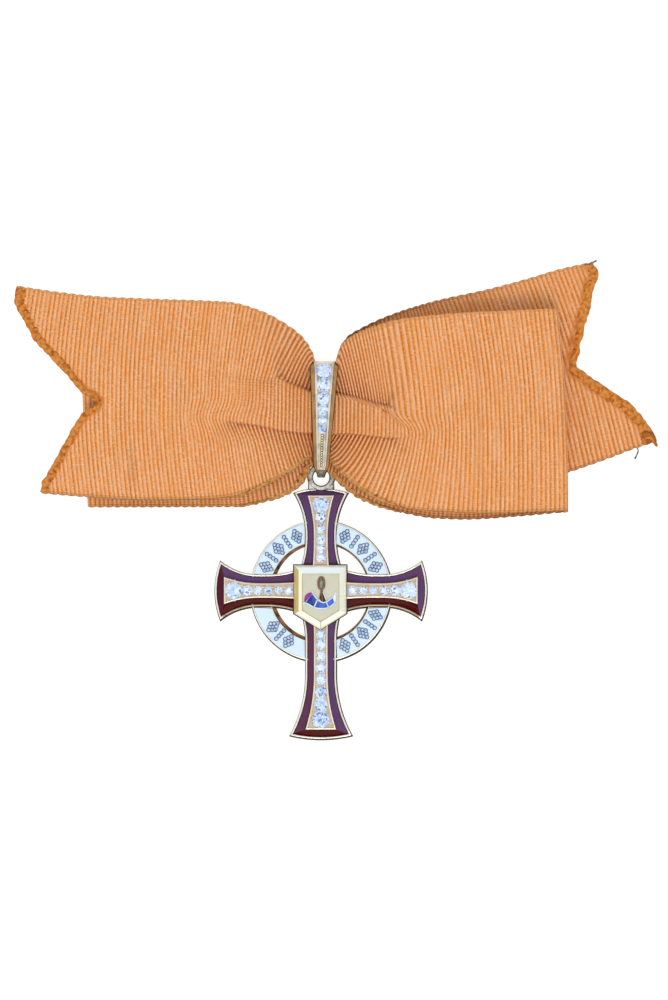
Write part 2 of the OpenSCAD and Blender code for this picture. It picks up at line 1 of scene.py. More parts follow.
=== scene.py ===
import math
from collections import namedtuple
import bpy
import bmesh
import numpy as np
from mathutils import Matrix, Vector


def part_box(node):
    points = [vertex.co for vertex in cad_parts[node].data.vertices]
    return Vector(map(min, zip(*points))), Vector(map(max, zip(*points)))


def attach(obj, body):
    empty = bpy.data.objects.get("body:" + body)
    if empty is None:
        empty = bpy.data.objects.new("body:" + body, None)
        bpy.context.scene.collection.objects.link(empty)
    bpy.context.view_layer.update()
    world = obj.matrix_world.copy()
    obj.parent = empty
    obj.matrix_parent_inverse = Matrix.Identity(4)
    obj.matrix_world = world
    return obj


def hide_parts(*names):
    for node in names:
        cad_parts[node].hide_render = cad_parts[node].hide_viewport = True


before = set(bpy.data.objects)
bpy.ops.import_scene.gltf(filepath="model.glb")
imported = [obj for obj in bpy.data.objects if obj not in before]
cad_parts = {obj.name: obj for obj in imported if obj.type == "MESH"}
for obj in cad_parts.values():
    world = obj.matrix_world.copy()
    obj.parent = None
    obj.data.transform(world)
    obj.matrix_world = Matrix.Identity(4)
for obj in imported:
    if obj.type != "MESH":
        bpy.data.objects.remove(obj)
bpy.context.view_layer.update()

# All sizes below are in millimetres. In plan they start from the centre of the cross, x to the right, y up.
footReach = 26.9      # from that centre to the foot of the lowest arm
crossLow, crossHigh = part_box("cross_body")
crossCentre = [(crossLow.x + crossHigh.x) * 500, crossLow.y * 1000 + footReach, 0]


def toFrame(points):
    return (np.asarray(points, float).reshape(-1, 3) + crossCentre) / 1000


def eased(table, x):  # a smooth curve through (x, y) pairs that never swings past them
    xs = np.array([p[0] for p in table], float)
    ys = np.array([p[1] for p in table], float)
    if xs[0] > xs[-1]:
        xs, ys = xs[::-1], ys[::-1]
    step = np.diff(xs)
    rise = np.diff(ys) / step
    slope = np.zeros(len(xs))
    slope[0], slope[-1] = rise[0], rise[-1]
    for i in range(1, len(xs) - 1):
        if rise[i - 1] * rise[i] > 0:
            slope[i] = 2 * rise[i - 1] * rise[i] / (rise[i - 1] + rise[i])
    x = np.clip(np.asarray(x, float), xs[0], xs[-1])
    i = np.clip(np.searchsorted(xs, x) - 1, 0, len(xs) - 2)
    t = (x - xs[i]) / step[i]
    return (ys[i] * (2 * t**3 - 3 * t**2 + 1) + slope[i] * step[i] * (t**3 - 2 * t**2 + t)
            + ys[i + 1] * (3 * t**2 - 2 * t**3) + slope[i + 1] * step[i] * (t**3 - t**2))


def smoothStep(low, high, x):
    t = np.clip((np.asarray(x, float) - low) / (high - low), 0, 1)
    return t * t * (3 - 2 * t)


def circle(centre, radius, z, count):
    angle = np.arange(count) * 2 * math.pi / count
    return np.column_stack([centre[0] + radius * np.cos(angle), centre[1] + radius * np.sin(angle),
                            np.full(count, z)])


def turned(points, degrees):  # about the centre of the cross, seen from above
    a = math.radians(degrees)
    points = np.array(points, float)
    points[..., :2] = points[..., :2] @ [[math.cos(a), math.sin(a)], [-math.sin(a), math.cos(a)]]
    return points


materials = {}


def addPiece(name, points, faces, finishes, replaced, smooth=True):
    mesh = bpy.data.meshes.new(name)
    mesh.from_pydata([tuple(p) for p in toFrame(points)], [], [tuple(f) for f in faces])
    mesh.polygons.foreach_set("use_smooth", [smooth] * len(mesh.polygons))
    for finish in finishes:
        mesh.materials.append(materials[finish])
    piece = bpy.data.objects.new(name, mesh)
    bpy.context.scene.collection.objects.link(piece)
    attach(piece, "root")
    if replaced:
        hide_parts(*replaced)
    return piece


class Shape:  # points and faces gathered from many small parts
    def __init__(self):
        self.points, self.faces, self.kinds, self.tints = [], [], [], []

    def add(self, points, faces, kind=0, tints=None):
        start = len(self.points)
        self.points.extend([tuple(map(float, p)) for p in points])
        self.faces.extend([tuple(start + i for i in f) for f in faces])
        self.kinds.extend([kind] * len(faces))
        self.tints.extend(tints or [0.0] * len(faces))

    def loft(self, rings, kind=0, closed=True, firstCap=False, lastCap=False):
        count = len(rings[0])
        faces = []
        for k in range(len(rings) - 1):
            for j in range(count if closed else count - 1):
                a, b = k * count + j, k * count + (j + 1) % count
                faces.append((a, b, b + count, a + count))
        if firstCap:
            faces.append(tuple(range(count - 1, -1, -1)))
        if lastCap:
            faces.append(tuple((len(rings) - 1) * count + j for j in range(count)))
        self.add([p for ring in rings for p in ring], faces, kind)

    def build(self, name, finishes, replaced, slotName, smooth=True, sharp=None, merged=0.0):
        piece = addPiece(name, self.points, self.faces, finishes, replaced, smooth)
        piece.data.polygons.foreach_set("material_index", self.kinds)
        # This face attribute carries painted light: the shade of the enamel bands by their facing, and which
        # painted reflection each facet of a stone shows.
        piece.data.attributes.new("paintedLightTone", "FLOAT", "FACE").data.foreach_set("value", self.tints)
        bm = bmesh.new()
        bm.from_mesh(piece.data)
        if merged:
            bmesh.ops.remove_doubles(bm, verts=bm.verts, dist=merged)
        bmesh.ops.recalc_face_normals(bm, faces=bm.faces)
        for edge in bm.edges if sharp else ():
            if len(edge.link_faces) == 2 and edge.calc_face_angle(0) > math.radians(sharp):
                edge.smooth = False
        bm.to_mesh(piece.data)
        bm.free()
        return piece


# Small helpers for the node trees.
def fill(tree, target, feeds):  # each value goes into its socket as a link, a colour, a vector or a number
    for key, value in dict(feeds).items():
        socket = target.inputs[key]
        if isinstance(value, bpy.types.NodeSocket):
            tree.links.new(value, socket)
        else:
            socket.default_value = (*value, 1) if socket.type == "RGBA" else value
    return target


def node(tree, kind, feeds=(), **settings):
    made = tree.nodes.new(kind)
    for key, value in settings.items():
        setattr(made, key, value)
    return fill(tree, made, feeds)


def newMaterial(name):
    material = materials[name] = bpy.data.materials.new(name)
    material.use_nodes = True
    return material.node_tree, material.node_tree.nodes["Principled BSDF"]


def maths(tree, operation, *values):
    return node(tree, "ShaderNodeMath", enumerate(values), operation=operation).outputs[0]


def mixColour(tree, share, first, second, blend="MIX"):
    feeds = {0: share, 6: first, 7: second}
    return node(tree, "ShaderNodeMix", feeds, data_type="RGBA", blend_type=blend).outputs[2]


def ramp(tree, value, stops):
    made = node(tree, "ShaderNodeValToRGB", {0: value})
    elements = made.color_ramp.elements
    while len(elements) < len(stops):
        elements.new(0.5)
    for element, (place, colour) in zip(elements, stops):
        element.position = place
        element.color = (*colour, 1) if isinstance(colour, tuple) else (colour, colour, colour, 1)
    return made.outputs[0]


def objectPlace(tree):
    return node(tree, "ShaderNodeTexCoord").outputs["Object"]


def attribute(tree, name):
    return node(tree, "ShaderNodeAttribute", attribute_name=name).outputs["Fac"]


def noise(tree, vector, scale, detail):
    return node(tree, "ShaderNodeTexNoise", {"Vector": vector, "Scale": scale, "Detail": detail}).outputs[0]


def bumped(tree, height, strength, distance):
    feeds = {"Height": height, "Strength": strength, "Distance": distance}
    return node(tree, "ShaderNodeBump", feeds).outputs[0]


def newGroup(name, inputs, outputs):
    group = bpy.data.node_groups.new(name, "ShaderNodeTree")
    for label, value in inputs.items():
        kind = "NodeSocketColor" if isinstance(value, tuple) else "NodeSocketFloat"
        group.interface.new_socket(label, in_out="INPUT", socket_type=kind).default_value = value
    for label, kind in outputs.items():
        group.interface.new_socket(label, in_out="OUTPUT", socket_type=kind)
    return group, group.nodes.new("NodeGroupInput").outputs, group.nodes.new("NodeGroupOutput")


def placeGroup(tree, group, **feeds):
    return node(tree, "ShaderNodeGroup", feeds, node_tree=group).outputs


def makeHandled():  # soft blotches and fine scratches that every hard surface carries
    group, into, out = newGroup(
        "handledSurface",
        {"Scale": 600.0, "Colour": (1, 1, 1, 1), "Tarnish": (0, 0, 0, 1), "Amount": 0.3, "Roughness": 0.2,
         "Spread": 0.15},
        {"Colour": "NodeSocketColor", "Roughness": "NodeSocketFloat", "Height": "NodeSocketFloat"})
    place = objectPlace(group)
    blotches = noise(group, place, into["Scale"], 5)
    scratches = noise(group, place, maths(group, "MULTIPLY", into["Scale"], 7.0), 3)
    patch = maths(group, "MULTIPLY", ramp(group, blotches, [(0.42, 0.0), (0.68, 1.0)]), into["Amount"])
    rough = maths(group, "MULTIPLY_ADD", scratches, into["Spread"], into["Roughness"])
    fill(group, out, {"Colour": mixColour(group, patch, into["Colour"], into["Tarnish"]),
                      "Roughness": maths(group, "MULTIPLY_ADD", patch, 0.25, rough), "Height": scratches})
    return group


handled = makeHandled()


def hardMaterial(name, colour, tarnish, metallic, roughness, amount=0.35, spread=0.12, scale=500.0, bump=0.02,
                 coat=0.0, specular=0.5):
    tree, shader = newMaterial(name)
    surface = placeGroup(tree, handled, Scale=scale, Colour=colour, Tarnish=tarnish, Amount=amount,
                         Roughness=roughness, Spread=spread)
    fill(tree, shader, {
        "Base Color": surface["Colour"], "Roughness": surface["Roughness"], "Metallic": metallic,
        "Normal": bumped(tree, surface["Height"], bump, 0.0001), "Specular IOR Level": specular,
        "Coat Weight": coat, "Coat Roughness": 0.05})


# Each finish has its colour, its tarnish, how metallic and how rough it is, and then other values of its own.
hardFinishes = {
    "paleGold": ((0.80, 0.75, 0.58), (0.55, 0.46, 0.30), 0.7, 0.3, dict(amount=0.4)),
    "warmGold": ((0.52, 0.45, 0.375), (0.58, 0.26, 0.07), 0.6, 0.3, dict(amount=0.8, scale=1300.0)),
    "deepGold": ((0.30, 0.17, 0.07), (0.10, 0.045, 0.015), 0.8, 0.35, dict(amount=0.6)),
    # Near black: patina, and painted shade on the walls, outlines, dark lines and hollows of the gold.
    "patinaAndShade": ((0.055, 0.042, 0.028), (0.02, 0.015, 0.01), 0.0, 0.6, dict(amount=0.5, specular=0.05)),
    "shieldGold": ((0.73, 0.76, 0.62), (0.64, 0.62, 0.45), 0.35, 0.25, dict(amount=0.2, spread=0.06)),
    "shieldFieldGold": ((0.575, 0.565, 0.44), (0.48, 0.45, 0.32), 0.45, 0.42, dict(amount=0.2, bump=0.05)),
    "ringSilver": ((0.72, 0.70, 0.65), (0.11, 0.09, 0.07), 0.6, 0.3, dict(amount=1.0, scale=900.0)),
    "rimGold": ((0.80, 0.78, 0.69), (0.55, 0.48, 0.34), 0.7, 0.3, dict(amount=0.4)),
    # rimShade: the rims in painted shade.
    "rimShade": ((0.42, 0.34, 0.22), (0.26, 0.19, 0.11), 0.6, 0.35, dict(amount=0.6)),
    "bailRim": ((0.72, 0.70, 0.64), (0.40, 0.38, 0.34), 0.5, 0.25, dict(amount=0.7, scale=700.0)),
    "bailEnd": ((0.24, 0.21, 0.14), (0.10, 0.085, 0.05), 0.6, 0.35, dict(amount=0.8, scale=900.0)),
    "bailFloor": ((0.80, 0.69, 0.50), (0.36, 0.25, 0.13), 0.5, 0.3, dict(amount=0.8, scale=900.0)),
    "silver": ((0.78, 0.84, 0.97), (0.45, 0.50, 0.65), 0.3, 0.25, dict(amount=0.25)),
    "greySilver": ((0.085, 0.175, 0.34), (0.04, 0.09, 0.19), 0.2, 0.35, dict(amount=0.5, specular=0.3)),
    # shieldWarm, shieldStraw, shieldBright, shieldCream and shieldPale are lit and shaded copies of the
    # shield's gold: painted reflection and shade for its bevels.
    "shieldWarm": ((0.58, 0.43, 0.15), (0.48, 0.34, 0.11), 0.4, 0.25, dict(amount=0.4)),
    "shieldStraw": ((0.76, 0.60, 0.27), (0.66, 0.46, 0.18), 0.3, 0.25, dict(amount=0.4)),
    "shieldBright": ((1.0, 0.96, 0.80), (0.9, 0.80, 0.55), 0.2, 0.25, dict(amount=0.3)),
    "bailWarm": ((0.64, 0.44, 0.18), (0.36, 0.22, 0.08), 0.6, 0.26, dict(amount=0.8, scale=700.0)),
    "shieldCream": ((0.94, 0.90, 0.66), (0.9, 0.80, 0.55), 0.2, 0.25, dict(amount=0.3)),
    "shieldPale": ((0.80, 0.89, 0.90), (0.74, 0.82, 0.78), 0.1, 0.25, dict(amount=0.2, spread=0.06)),
    "milgrainGold": ((0.92, 0.85, 0.68), (0.6, 0.48, 0.3), 0.2, 0.35, dict(amount=0.3)),
    # The wheel's inner wall: gold painted dark brown for the shade it lies in.
    "shadedInnerWall": ((0.46, 0.20, 0.07), (0.07, 0.035, 0.015), 0.2, 0.4,
                  dict(amount=1.0, scale=700.0, specular=0.2)),
    "cordBronze": ((0.26, 0.13, 0.09), (0.10, 0.08, 0.07), 0.4, 0.4, dict(amount=0.7, scale=1200.0)),
    "cordShade": ((0.30, 0.30, 0.19), (0.07, 0.09, 0.08), 0.2, 0.4, dict(amount=0.8, scale=1500.0)),
    "pinSteel": ((0.62, 0.62, 0.62), (0.35, 0.34, 0.32), 1.0, 0.25, dict(amount=0.3)),
    "whiteEnamel": ((0.66, 0.80, 0.93), (0.56, 0.70, 0.84), 0.0, 0.15, dict(amount=0.3, coat=0.3)),
    "redStone": ((0.30, 0.03, 0.34), (0.035, 0.003, 0.03), 0.0, 0.1,
                 dict(amount=1.0, scale=1000.0, coat=0.2, specular=0.3)),
    "rolledSilk": ((0.66, 0.25, 0.05), (0.38, 0.095, 0.008), 0.0, 0.65,
                   dict(amount=1.0, scale=1500.0, bump=0.6, specular=0.15)),
    # rolledSilkShade and rolledSelvedgeShade are painted shade in the gaps of the rolls; the first is also
    # the dark colour of the curled tip.
    "rolledSilkShade": ((0.33, 0.085, 0.014), (0.50, 0.17, 0.03), 0.0, 0.7,
                        dict(amount=1.0, scale=1800.0, bump=0.5, specular=0.1)),
    "looseThread": ((0.13, 0.09, 0.07), (0.30, 0.16, 0.08), 0.0, 0.7,
                    dict(amount=0.8, scale=1500.0, specular=0.1)),
    "rolledSelvedge": ((0.60, 0.28, 0.08), (0.34, 0.125, 0.025), 0.0, 0.65,
                       dict(amount=1.0, scale=1500.0, bump=0.6, specular=0.15)),
    "rolledSelvedgeShade": ((0.21, 0.075, 0.016), (0.36, 0.14, 0.03), 0.0, 0.7,
                            dict(amount=0.8, scale=1800.0, bump=0.5, specular=0.1)),
    "blueStone1": ((0.008, 0.018, 0.17), (0.03, 0.10, 0.50), 0.0, 0.1,
                   dict(amount=1.0, scale=800.0, coat=0.2, specular=0.3)),
    "blueStone2": ((0.03, 0.09, 0.45), (0.06, 0.17, 0.55), 0.0, 0.1,
                   dict(amount=1.0, scale=800.0, coat=0.2, specular=0.3)),
    "blueStone3": ((0.02, 0.08, 0.55), (0.05, 0.20, 0.80), 0.0, 0.1,
                   dict(amount=1.0, scale=800.0, coat=0.2, specular=0.3)),
}
for name, (colour, tarnish, metallic, roughness, more) in hardFinishes.items():
    hardMaterial(name, colour, tarnish, metallic, roughness, **more)


def enamelMaterial(name, lit, warm, shaded):
    # Painted light and shade: the bands whose tone is high are painted darker and redder, as shade, towards
    # the foot of each arm.
    tree, shader = newMaterial(name)
    tone = attribute(tree, "paintedLightTone")
    cloud = ramp(tree, noise(tree, objectPlace(tree), 260, 4), [(0.38, 0.0), (0.66, 0.6)])
    colour = mixColour(tree, ramp(tree, tone, [(0.1, 0.0), (0.5, 0.85)]),
                       mixColour(tree, cloud, lit, warm), warm)
    colour = mixColour(tree, ramp(tree, tone, [(0.45, 0.0), (0.75, 1.0)]), colour, shaded)
    surface = placeGroup(tree, handled, Scale=420.0, Tarnish=(0.03, 0.01, 0.02), Amount=0.12, Roughness=0.12,
                         Spread=0.05, Colour=colour)
    fill(tree, shader, {"Base Color": surface["Colour"], "Roughness": surface["Roughness"],
                        "Specular IOR Level": 0.03, "Coat Weight": 0.01, "Coat Roughness": 0.08})


def makeDiamond(name, scale, dark, light):
    # Painted reflections: the facets are coloured pale blue, white and grey, each in its own small patch.
    tree, shader = newMaterial(name)
    cells = node(tree, "ShaderNodeTexVoronoi", {"Vector": objectPlace(tree), "Scale": scale}, feature="F1",
                 voronoi_dimensions="3D")
    patch = node(tree, "ShaderNodeSeparateColor", {0: cells.outputs["Color"]}).outputs
    value = maths(tree, "ADD", attribute(tree, "paintedLightTone"), maths(tree, "MULTIPLY", patch[0], 0.6))
    value = maths(tree, "FRACT", value)
    colour = ramp(tree, value, [
        (0.0, dark), (0.07, dark), (0.11, (0.32, 0.46, 0.74)), (0.26, (0.48, 0.65, 0.90)),
        (0.45, (0.64, 0.79, 0.94)), (0.66, (0.81, 0.90, 0.96)), (0.8, (0.94, 0.97, 0.97)),
        (0.97, (0.60, 0.68, 0.84))])
    fill(tree, shader, {
        "Base Color": mixColour(tree, 1.0, colour, (light * 0.97, light, light * 1.08), "MULTIPLY"),
        "Roughness": ramp(tree, patch[1], [(0.0, 0.05), (1.0, 0.3)]), "Coat Weight": 0.25,
        "Coat Roughness": 0.05})


# The red enamel: a lit purple, a warm tone, and a dark red that is painted shade.
enamelMaterial("redEnamel", (0.118, 0.057, 0.16), (0.132, 0.048, 0.092), (0.072, 0.0006, 0.0006))
makeDiamond("diamond", 2600.0, (0.16, 0.22, 0.38), 0.94)
makeDiamond("smallDiamond", 3400.0, (0.12, 0.24, 0.48), 0.8)
print("materials ready")

# The ribbon: one ribbed length that runs through the knot five times and is gathered in two pleats there.
ribbonLook = {
    "width": 36.8, "ribPitch": 0.775, "thickness": 0.34, "ribHeight": 0.10, "scallop": 0.2, "roll": 0.2,
    # Painted light: the rib tops' colour is partly the silk's own and partly a painted highlight, the
    # grooves' colour a painted shade, and the colour for painted shade multiplies the cloth in the pleats.
    "ribHighlightColour": (0.81, 0.487, 0.282), "slopeColour": (0.79, 0.255, 0.016),
    "grooveShadeColour": (0.40, 0.10, 0.005), "selvedgeColour": (0.60, 0.27, 0.07),
    "cutColour": (0.62, 0.20, 0.03), "pocketColour": (0.42, 0.21, 0.075),
    "rollReach": {"frontTail": 2.5, "rearTail": 3.8},      # how far the colour of a cut end reaches in
    "selvedgeReach": 9.5,      # how far from the knot the lower selvedge is rolled
    "threadPitch": 0.42, "fray": 0.11, "stainAt": (-33.8, 22.6), "pulledThreadAt": (28.6, 30),
}
# The cut ends, and the selvedges by the knot, have rolled over with wear. Each roll has its widths as (y,
# width) from the top down, the length of a lump, its height, and the depth of the gaps.
hemLook = {
    "step": 0.26, "overhang": 0.1,
    "frontTail": ([(55.2, 2.4), (52, 2.1), (48, 1.7), (40, 1.55), (34, 1.25), (27, 1.45), (19, 1.6),
                   (17, 1.2)], 1.6, 0.8, 0.26),
    "rearTail": ([(59.6, 1.1), (57, 1.9), (52, 2.1), (47, 1.8), (43, 1.3), (40, 1.6), (37, 2.1), (30, 2.2),
                  (26.5, 1.9), (25.2, 1.0)], 1.6, 0.8, 0.26),
    "frontSelvedge": ([(23.8, 1.1), (21, 1.0), (18.6, 0.75), (17, 0.35)], 1.2, 0.65, 0.42),
    "leftSelvedge": ([(22.9, 1.5), (20, 1.5), (17.5, 1.1), (16, 0.5)], 1.55, 0.8, 0.42),
    "rightSelvedge": ([(23.6, 1.35), (19, 1.2), (16.5, 0.85), (15, 0.35)], 1.25, 0.7, 0.42),
    "rearSelvedge": ([(22.8, 1.2), (18, 1.1), (15.5, 0.75), (13.8, 0.35)], 1.3, 0.7, 0.42),
    # Curled tip and loose threads: points (x, y, z), radii, and which of their three silks they have.
    "strands": [([(58.0, 28.2, 1.2), (59.2, 27.7, 1.5), (60.0, 26.9, 1.3), (60.6, 25.9, 0.8)],
                 (0.6, 0.7, 0.5, 0.12), 1),
                ([(58.2, 27.4, 1.4), (59.1, 27.5, 1.9), (60.0, 26.8, 1.6)], (0.2, 0.28, 0.12), 0),
                ([(47.0, 58.7, 0.9), (48.3, 58.8, 1.1), (49.0, 59.05, 1.1), (49.7, 59.45, 0.9)],
                 (0.1, 0.16, 0.2, 0.12), 2),
                ([(56.9, 25.9, 0.8), (57.2, 25.2, 0.7), (56.95, 24.4, 0.6), (56.6, 23.7, 0.5)],
                 (0.1, 0.12, 0.13, 0.17), 2)],
}
# The pleats: height from one layer to the next, radius of a fold, the band between the pleats as shares of
# the width, where a pleat closes, and the swell of the cloth on both sides of them.
pleatLook = {
    "layerStep": 0.6, "foldRadius": 0.3, "bandFrom": 0.385, "bandTo": 0.575, "bandCrown": 0.12,
    "fullDepth": 1.4, "creases": (0.4, 0.58), "swellAt": 7, "swellReach": 5.5, "swellTop": 0.55,
    "swellFoot": 0.5}
knotTopX, knotFootX = 0.61, 0.1
bandFrom, bandTo = pleatLook["bandFrom"], pleatLook["bandTo"]
# Columns across the ribbon: stretch, number of points, share of the width where it starts.
stretches = [("top", 8, 0.0), ("foldUnderTop", 2, 0.218), ("returnTop", 1, 0.24), ("foldTop", 3, 0.36),
             ("band", 9, bandFrom), ("foldFoot", 3, bandTo), ("returnFoot", 1, 0.6),
             ("foldUnderFoot", 2, 0.716), ("foot", 9, 0.74)]
cols = []
for index, (name, count, low) in enumerate(stretches):
    high = stretches[index + 1][2] if index + 1 < len(stretches) else 1.0
    for i in range(count):
        t = {"top": i / count, "foot": (i + 1) / count}.get(name, (i + 0.5) / count)
        cols.append((name, low + (high - low) * t, t))
colShare = np.array([c[1] for c in cols])
knotLine = knotTopX + (knotFootX - knotTopX) * colShare

# The six runs of the ribbon from the knot outwards. Edges are (x, y). The other tables start with the
# distance from the knot: level z, heights of the two pleats, the painted shade by them, cloth hidden in them,
# how far they stand open, rib pitch, and how far the ribs lag behind their middle at the top, at the foot and
# by the lower pleat. A run's "shade" is painted shade over the whole run.
hiddenPitch = [(0, 0.7), (20, 0.72), (44, 0.78)]
leftLoop = {"pitch": hiddenPitch, "skew": [(0, 0), (30, -1.2), (43, -2.3)],
            "lagTop": [(0, 0.3), (8, 2.4), (20, 1.2), (43, 0)],
            "lagFoot": [(0, 0.6), (8, 2.4), (20, 1.2), (43, 0)]}
rightSkew = [(0, 0), (16, 0.6), (30, 2.0), (43, 2.5)]
runs = [
    {"name": "frontTail", "side": -1, "ends": (-57.2, -55.4), "perRib": 4,
     "top": [(knotTopX, 39.0), (-0.6, 39.9), (-1.4, 42.5), (-3.1, 45.3), (-5.9, 47.6), (-11, 50.3),
             (-16.7, 51.8), (-30.4, 52.35), (-39.3, 52.75), (-47.2, 53.6), (-57.2, 55.15)],
     "foot": [(knotFootX, 23.8), (-1.6, 23.8), (-5.4, 21.5), (-9, 19.5), (-15.7, 16.9), (-20, 16.5),
              (-30.4, 16.3), (-41.5, 16.8), (-55.4, 18.0)],
     "level": [(0, 4.35), (2.5, 4.45), (8, 5.2), (15, 5.6), (30, 5.6), (45, 5.1), (57, 4.6)],
     "upper": [(0, 34.6), (2.1, 35.35), (4.5, 36.3), (6.5, 37.05), (7.9, 38.0), (12, 39.4), (20, 40.0)],
     "lower": [(0, 28.6), (1.8, 28.7), (4, 28.8), (8, 29.3), (12, 30.2), (16, 30.5), (22, 30.7)],
     "shadeUpper": [(0, 1), (4, 0.9), (9, 0)], "shadeLower": [(0, 0.7), (6, 0.55), (14, 0.45), (22, 0)],
     "hiddenUpper": [(0, 3.5), (5, 2.2), (9, 0.0)], "hiddenLower": [(0, 4.0), (8, 2.4), (14, 1.2), (21, 0)],
     "openUpper": [(0, 1), (6, 1), (9.5, 0)], "openLower": [(0, 1), (12, 1), (17, 0.75), (24, 0)],
     "pitch": [(0, 0.68), (10, 0.66), (15, 0.6), (19, 0.62), (24, 0.74), (30, 0.775), (60, 0.79)],
     "lagTop": [(0, 0.3), (4, 2.6), (8, 4.0), (14, 2.3), (20, 1.3), (35, 0.9), (47, 1.4), (60, 1.5)],
     "lagFoot": [(0, 0.3), (4, 1.6), (8, 2.3), (14, 2.2), (20, 1.8), (35, 1.5), (60, 1.6)],
     "lagPleat": [(0, 0), (8, 0.1), (13, 0.9), (18, 1.1), (26, 0)], "skew": [(0, 0), (57, 0)]},
    {"name": "rightFront", "side": 1, "ends": (40.8, 43.9), "perRib": 4,
     "top": [(knotTopX, 38.8), (2.2, 39.6), (3.05, 42.2), (3.5, 43.9), (5.7, 45.8), (9, 47.3), (15, 48.9),
             (25.7, 49.9), (34.2, 50.3), (42.1, 50.7)],
     "foot": [(knotFootX, 23.6), (1.8, 23.0), (3.5, 21.3), (5.7, 19.4), (7.9, 17.7), (11.7, 15.9),
              (16.1, 14.7), (20.5, 14.3), (30.1, 13.9), (44.6, 14.4)],
     "level": [(0, 4.35), (2.5, 4.45), (8, 5.2), (15, 5.7), (25, 6.0), (36, 5.6), (44, 5.0)],
     "upper": [(0, 35.3), (2.6, 34.95), (5.6, 34.4), (7.5, 33.8), (10.3, 33.0), (13.7, 32.15), (18, 31.7),
               (24, 32.2), (30, 34)],
     "lower": [(0, 28.3), (4, 28.6), (7, 28.4), (10, 28.05), (14, 27.8), (18, 27.8), (26, 28.2)],
     "shadeUpper": [(0, 1), (6.5, 1), (11, 0.5), (14, 0)], "shadeLower": [(0, 1), (5, 1), (10, 0.6), (17, 0)],
     "hiddenUpper": [(0, 3.0), (7.5, 2.9), (10.5, 1.6), (12.8, 0.6), (15.5, 0)],
     "hiddenLower": [(0, 4.0), (8, 2.4), (13, 0.8), (16, 0)],
     "openUpper": [(0, 1), (18, 1), (30, 0)], "openLower": [(0, 1), (16, 1), (26, 0)],
     "pitch": [(0, 0.69), (10, 0.7), (15, 0.66), (21, 0.67), (26, 0.74), (32, 0.775), (44, 0.8)],
     "lagTop": [(0, 0.3), (4, 2.2), (8, 2.6), (14, 2.4), (20, 2.0), (30, 1.4), (43, 0.6)],
     "sweep": [(0, 0), (3, 0.3), (8, 1.2), (12, 2.0), (14.8, 2.6), (16.4, 2.0), (18.2, 1.0), (21, 0.4),
               (26, 0)],
     "sweepReach": [(0, 0.05), (10.5, 0.3), (13, 1.8), (15.5, 3.2), (44, 4.0)],
     "lagFoot": [(0, 0.6), (4, 4.0), (8, 4.8), (14, 3.6), (20, 2.3), (27, 0.9), (43, 0.5)],
     "skew": rightSkew},
    {"name": "rightBack", "side": 1, "ends": (40.8, 43.9), "perRib": 2,
     "top": [(knotTopX, 38.6), (3.05, 39.6), (4.5, 43.4), (9, 46.8), (15, 48.4), (25.7, 49.4), (42.1, 50.4)],
     "foot": [(knotFootX, 22.8), (1.5, 21.0), (2.4, 20.2), (3.3, 19.35), (5.4, 17.6), (7.3, 16.4),
              (11.7, 14.8), (15.6, 13.8), (20.5, 13.0), (26, 12.8), (36, 13.4), (44.6, 14.2)],
     "shade": 0.12, "level": [(0, 3.65), (8, 3.6), (14, 3.2), (22, 2.3), (34, 2.0), (44, 2.2)],
     "pitch": hiddenPitch,
     "lagTop": [(0, 0.3), (8, 2.4), (20, 1.6), (43, 0.6)],
     "lagFoot": [(0, 0.6), (8, 2.4), (20, 1.6), (43, 0.5)], "skew": rightSkew},
    {"name": "leftFront", "side": -1, "ends": (-42.5, -40.1), "perRib": 2,
     "top": [(knotTopX, 38.6), (-2.1, 39.4), (-3.6, 42.9), (-6.5, 46.6), (-11, 49.4), (-20, 51.4),
             (-42.1, 51.2)],
     "foot": [(knotFootX, 22.9), (-1.2, 22.6), (-1.7, 22.2), (-2.1, 21.4), (-2.4, 20.6), (-2.9, 19.7),
              (-4.5, 18.3), (-5.6, 17.5), (-9, 16.3), (-15.7, 15.05), (-39.6, 15.0)],
     "shade": 0.1, "level": [(0, 3.65), (8, 3.75), (20, 3.9), (32, 3.6), (42, 3.2)],
     **leftLoop},
    {"name": "leftBack", "side": -1, "ends": (-42.5, -40.1), "perRib": 3,
     "top": [(knotTopX, 38.6), (-2.1, 39.4), (-3.6, 42.6), (-6.5, 46.2), (-11, 49.2), (-20, 51.2),
             (-42.1, 51.2)],
     "foot": [(knotFootX, 22.9), (-1.6, 22.7), (-2.6, 21.6), (-3.4, 20.3), (-5.2, 18.0), (-9, 16.6),
              (-15.7, 15.3), (-39.6, 15.2)],
     "shade": 0.05, "level": [(0, 2.55), (5, 2.45), (11, 2.1), (20, 0.9), (32, 0.5), (42, 0.6)],
     **leftLoop},
    {"name": "rearTail", "side": 1, "ends": (53, 62.5), "perRib": 4,
     "top": [(knotTopX, 38.6), (3.3, 39.6), (4.2, 45.0), (7.3, 47.2), (13.1, 49.8), (20.5, 52.1),
             (30.1, 54.22), (37.6, 56.22), (42.9, 57.8), (49.9, 59.35)],
     "foot": [(knotFootX, 22.4), (2.5, 21.4), (5.5, 19.2), (9, 17.9), (15.7, 16.6), (30, 16.8), (45.3, 21.5),
              (51.9, 23.8), (56.1, 25.4), (61.6, 27.2)],
     "shade": 0.07, "level": [(0, 2.55), (5, 2.4), (10, 1.9), (17, 1.35), (26, 1.15), (44, 1.0), (60, 0.5)],
     "pitch": [(0, 0.7), (14, 0.74), (30, 0.79), (62, 0.8)],
     "lagTop": [(0, 0.3), (8, 2.4), (20, 1.2), (60, 1.0)],
     "lagFoot": [(0, 0.6), (8, 2.4), (20, 1.2), (60, 0)], "skew": [(0, 0), (16, 4.5), (28, 9.5), (62, 9.5)]},
]
